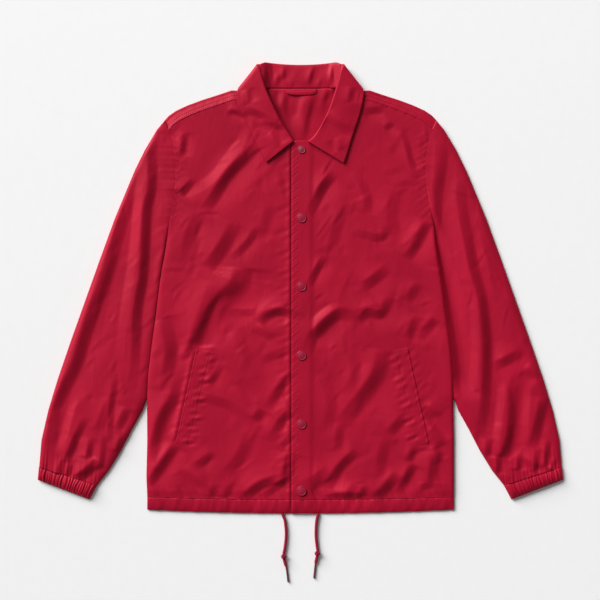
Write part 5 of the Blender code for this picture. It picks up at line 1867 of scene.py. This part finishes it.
@dataclass(frozen=True)
class StitchRow:
    """Rows of lockstitch: short threads along lines that lie on the cloth."""

    name: str
    lines: list[np.ndarray]
    pitch_mm: float = 4.0
    stitch_mm: float = 3.0
    thread_mm: float = 0.65

    def tree(self) -> bpy.types.NodeTree:
        """Builds the node tree that lays a stitch at each step along the lines."""
        tree = bpy.data.node_groups.new(f"lay_{self.name}", "GeometryNodeTree")
        sockets = (
            ("Lines", "NodeSocketGeometry"),
            ("Pitch", "NodeSocketFloat"),
            ("Stitch Length", "NodeSocketFloat"),
            ("Thread", "NodeSocketFloat"),
            ("Material", "NodeSocketMaterial"),
        )
        for name, kind in sockets:
            tree.interface.new_socket(name, in_out="INPUT", socket_type=kind)
        tree.interface.new_socket("Stitches", in_out="OUTPUT", socket_type="NodeSocketGeometry")
        given = add_node(tree, "NodeGroupInput").outputs
        curve = add_node(tree, "GeometryNodeMeshToCurve", {"Mesh": given["Lines"]})
        points = add_node(
            tree,
            "GeometryNodeCurveToPoints",
            {"Curve": curve.outputs[0], "Length": given["Pitch"]},
            mode="LENGTH",
        )
        turn = add_node(
            tree, "FunctionNodeAlignRotationToVector", {"Vector": points.outputs["Tangent"]}, axis="X"
        )
        size = add_node(
            tree,
            "ShaderNodeCombineXYZ",
            {"X": given["Stitch Length"], "Y": given["Thread"], "Z": given["Thread"]},
        )
        bead = add_node(tree, "GeometryNodeMeshUVSphere", {"Segments": 6, "Rings": 4, "Radius": 0.5})
        lying = add_node(
            tree,
            "GeometryNodeTransform",
            {"Geometry": bead.outputs[0], "Rotation": (0.0, math.pi / 2, 0.0)},
        )
        placed = add_node(
            tree,
            "GeometryNodeInstanceOnPoints",
            {
                "Points": points.outputs["Points"],
                "Instance": lying.outputs[0],
                "Rotation": turn.outputs[0],
                "Scale": size.outputs[0],
            },
        )
        real = add_node(tree, "GeometryNodeRealizeInstances", {"Geometry": placed.outputs[0]})
        smooth = add_node(tree, "GeometryNodeSetShadeSmooth", {"Geometry": real.outputs[0]})
        dyed = add_node(
            tree, "GeometryNodeSetMaterial", {"Geometry": smooth.outputs[0], "Material": given["Material"]}
        )
        add_node(tree, "NodeGroupOutput", {"Stitches": dyed.outputs[0]})
        return tree

    def build(self, thread: bpy.types.Material) -> bpy.types.Object:
        """Lays the stitches and keeps them as a plain mesh."""
        mesh = bpy.data.meshes.new(self.name)
        places = np.concatenate(self.lines) * MM
        edges = []
        first = 0
        for line in self.lines:
            edges += [(first + k, first + k + 1) for k in range(len(line) - 1)]
            first += len(line)
        mesh.from_pydata(places.tolist(), edges, [])
        made = link_object(self.name, mesh)
        modifier = made.modifiers.new("Stitches", "NODES")
        tree = self.tree()
        modifier.node_group = tree
        values = {
            "Pitch": self.pitch_mm * MM,
            "Stitch Length": self.stitch_mm * MM,
            "Thread": self.thread_mm * MM,
            "Material": thread,
        }
        for item in tree.interface.items_tree:
            if item.name in values and item.in_out == "INPUT":
                modifier[item.identifier] = values[item.name]
        return ride(settle(made), "shell_cloth")


@dataclass(frozen=True)
class Topstitching:
    """The rows of stitches that show on the jacket's front."""

    lay: Lay
    back: Back
    collar: Collar
    welts: tuple[Welt, ...]
    loop: HangerLoop
    sleeves: tuple[Sleeve, ...]

    def on_fronts(self, x: Any, y: Any) -> np.ndarray:
        """Places on the fronts' upper face, in millimetres."""
        x, y = np.broadcast_arrays(np.asarray(x, float), np.asarray(y, float))
        return np.column_stack([x, y, self.lay.front_top(x, y) + 0.12])

    def shoulders(self) -> list[np.ndarray]:
        """Two rows on each forward shoulder seam, on the back panel's turned edge."""
        rows = []
        for side in Side:
            across = np.linspace(76.0, 226.0, 110)
            seam = Outline.top_up(side, across)
            width = Outline.shoulder_up(across) - seam
            for above in (2.2, 7.2):
                x, y = side.value * across, seam + above
                z = self.back.over_shoulder(side, x, y, 1.0 - above / width) + self.back.cloth / 2 + 0.1
                rows.append(np.column_stack([x, y, z]))
        return rows

    def armholes(self) -> list[np.ndarray]:
        """One row on each front beside the armhole seam."""
        up = np.linspace(112.0, 286.0, 130)
        return [self.on_fronts(side.value * (Outline.side_edge(side, up) - 4.2), up) for side in Side]

    def build(self, thread: bpy.types.Material) -> None:
        """Sews every row."""
        up = np.linspace(250.0, -370.0, 420)
        StitchRow("stitches_placket", [self.on_fronts(-6.5, up)]).build(thread)
        across = np.linspace(-266.0, 266.0, 380)
        seam = self.on_fronts(across, Outline.hem_seam(across) + 1.6)
        StitchRow("stitches_hem", [seam]).build(thread)
        StitchRow("stitches_shoulders", self.shoulders()).build(thread)
        StitchRow("stitches_armholes", self.armholes()).build(thread)
        StitchRow("stitches_collar", self.collar.edge_line(6.0)).build(thread)
        welt_rows = [line for welt in self.welts for line in welt.stitch_lines(3.4)]
        StitchRow("stitches_welts", welt_rows).build(thread)
        StitchRow("stitches_loop", self.loop.stitch_lines(), 1.4, 1.2, 0.4).build(thread)
        cuff_rows = [sleeve.cuff_line(3.2) for sleeve in self.sleeves]
        StitchRow("stitches_cuffs", cuff_rows).build(thread)


@dataclass(frozen=True)
class Cut:
    """What a piece of cloth measured before it was sewn."""

    piece: str
    width: float
    length: float
    area: float | None
    held: str
    rests_on: tuple[str, ...] = ()

    def declare(self) -> None:
        """Does nothing."""


# Cuts of what shows, all round on a tube: width and length in metres, area in square metres
CUTS = (
    Cut("cloth_back", 0.54, 0.735, 0.36, "laid"),
    Cut("cloth_front_left", 0.29, 0.70, 0.165, "laid", ("cloth_back",)),
    Cut("cloth_front_right", 0.29, 0.70, 0.165, "laid", ("cloth_front_left", "cloth_back")),
    Cut("cloth_sleeve_left", 0.37, 0.66, 0.155, "laid"),
    Cut("cloth_sleeve_right", 0.37, 0.66, 0.155, "laid"),
    Cut("cloth_cuff_left", 0.215, 0.026, None, "gathered"),
    Cut("cloth_cuff_right", 0.215, 0.026, None, "gathered"),
    Cut("cloth_collar", 0.50, 0.10, 0.045, "folded", ("cloth_front_left", "cloth_front_right")),
    Cut("cloth_hem_back", 0.54, 0.024, None, "laid"),
    Cut("cloth_hem_left", 0.29, 0.024, None, "laid", ("cloth_hem_back",)),
    Cut("cloth_hem_right", 0.29, 0.024, None, "laid", ("cloth_hem_back",)),
    Cut("cloth_welt_left", 0.024, 0.17, None, "laid", ("cloth_front_left",)),
    Cut("cloth_welt_right", 0.024, 0.17, None, "laid", ("cloth_front_right",)),
    Cut("cloth_hanger_loop", 0.010, 0.055, None, "laid", ("cloth_back",)),
)


@dataclass(frozen=True)
class Studio:
    """A pale floor, a broad soft light at the upper left, a weak one nearer the collar, and the camera."""

    distance: float = 2.6
    centre: tuple[float, float] = (-0.0009, -0.0214)
    view_width: float = 1.05
    sensor_mm: float = 36.0
    far_strength: float = 4.55
    far_degrees: float = 38.0
    near_watts: float = 48.0
    near_size: float = 2.0
    near_place: tuple[float, float, float] = (-1.4, 3.6, 2.6)
    world: float = 0.2

    def build(self) -> None:
        """Makes the floor, the lights, the world and the camera."""
        self.floor()
        # A broad light far off at the upper left, 28 degrees above the floor
        far = self.light("far_softbox", "SUN", self.far_strength, (0.71, -0.7, -0.52))
        far.data.angle = math.radians(self.far_degrees)
        near = self.light("softbox", "AREA", self.near_watts, [-value for value in self.near_place])
        near.data.size = self.near_size
        near.location = self.near_place
        world = bpy.data.worlds.new("pale_room")
        world.use_nodes = True
        background = world.node_tree.nodes["Background"]
        background.inputs[0].default_value = linear("#FFFFFF")
        background.inputs[1].default_value = self.world
        bpy.context.scene.world = world
        bpy.context.scene.view_settings.view_transform = "Standard"
        data = bpy.data.cameras.new("camera")
        data.sensor_width = self.sensor_mm
        data.lens = self.sensor_mm * self.distance / self.view_width
        data.clip_start = 0.05
        camera = link_object("camera", data)
        camera.location = (*self.centre, self.distance)
        bpy.context.scene.camera = camera

    def floor(self) -> None:
        """Makes the plain pale floor, a hair below the cloth."""
        finish = {"Roughness": 0.9, "Specular IOR Level": 0.1}
        material, tree, shader, place = new_material("floor_painted_board", finish)
        grain = add_node(tree, "ShaderNodeTexNoise", {"Vector": place, "Scale": 60.0, "Detail": 2.0})
        tone = add_node(
            tree,
            "ShaderNodeMix",
            {0: grain.outputs[0], 6: linear("#F2F2F2"), 7: linear("#F5F5F5")},
            data_type="RGBA",
        )
        tree.links.new(tone.outputs[2], shader.inputs["Base Color"])
        steps = np.array([-6000.0, 0.0, 6000.0])
        x, y = np.meshgrid(steps, steps)
        floor = grid_object("floor", np.stack([x, y, np.full(x.shape, -0.4)], axis=-1))
        dress(floor, material)

    @staticmethod
    def light(name: str, kind: str, energy: float, towards: Sequence[float]) -> bpy.types.Object:
        """Adds a light.

        Args:
            name: the light's name.
            kind: Blender's type of light.
            energy: its strength, in watts or for a sun in watts for each square metre.
            towards: the direction in which it shines.

        Returns:
            The light, at the origin.
        """
        data = bpy.data.lights.new(name, kind)
        data.energy = energy
        made = link_object(name, data)
        made.rotation_euler = Vector(towards).to_track_quat("-Z", "Y").to_euler()
        return made


def main() -> None:
    """Builds the jacket, its stitches and the studio."""
    logging.basicConfig(level=logging.INFO, format="%(name)s: %(message)s")
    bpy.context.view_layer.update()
    Studio().build()
    cloth = WovenNylon("nylon_taffeta").material()
    # The second colour of each cord is painted shade for the grooves of its braid
    cord = BraidedCord("cord_braided_polyester", "#A01436", "#6A0A22").material()
    tip = BraidedCord("cord_bound_tip", "#6E3A44", "#44222C", 1.2).material()
    enamel = SnapEnamel().material()
    # The top snap takes a greyer, darker enamel: painted shade for the shadow that it lies in
    painted_shade_enamel = SnapEnamel("enamel_baked_red_painted_shade", "#8E3A48").material()
    thread = SewingThread().material()

    for side in Side:
        CordEnd(side, length_m=0.07 if side is Side.LEFT else 0.065).build(cord, tip)
    lay = Lay()
    back = Back(lay)
    back.build(cloth)
    for side in Side:
        Front(side, lay).build(cloth)
    sleeves = tuple(Sleeve(side, lay) for side in Side)
    for sleeve in sleeves:
        sleeve.build(cloth)
        Cuff(sleeve.side).build(cloth)
    collar = Collar(lay)
    collar.build(cloth)
    loop = HangerLoop(lay)
    loop.build(cloth)
    welts = tuple(Welt(side, lay) for side in Side)
    for welt in welts:
        welt.build(cloth)
    for casing in Casing:
        HemCasing(casing, lay).build(cloth)
    for number, (up, radius) in enumerate(SNAP_TABLE, start=1):
        SnapCap(number, up, radius, lay).build(painted_shade_enamel if number == 1 else enamel)
    Topstitching(lay, back, collar, welts, loop, sleeves).build(thread)
    for cut in CUTS:
        cut.declare()


if __name__ == "__main__":
    main()
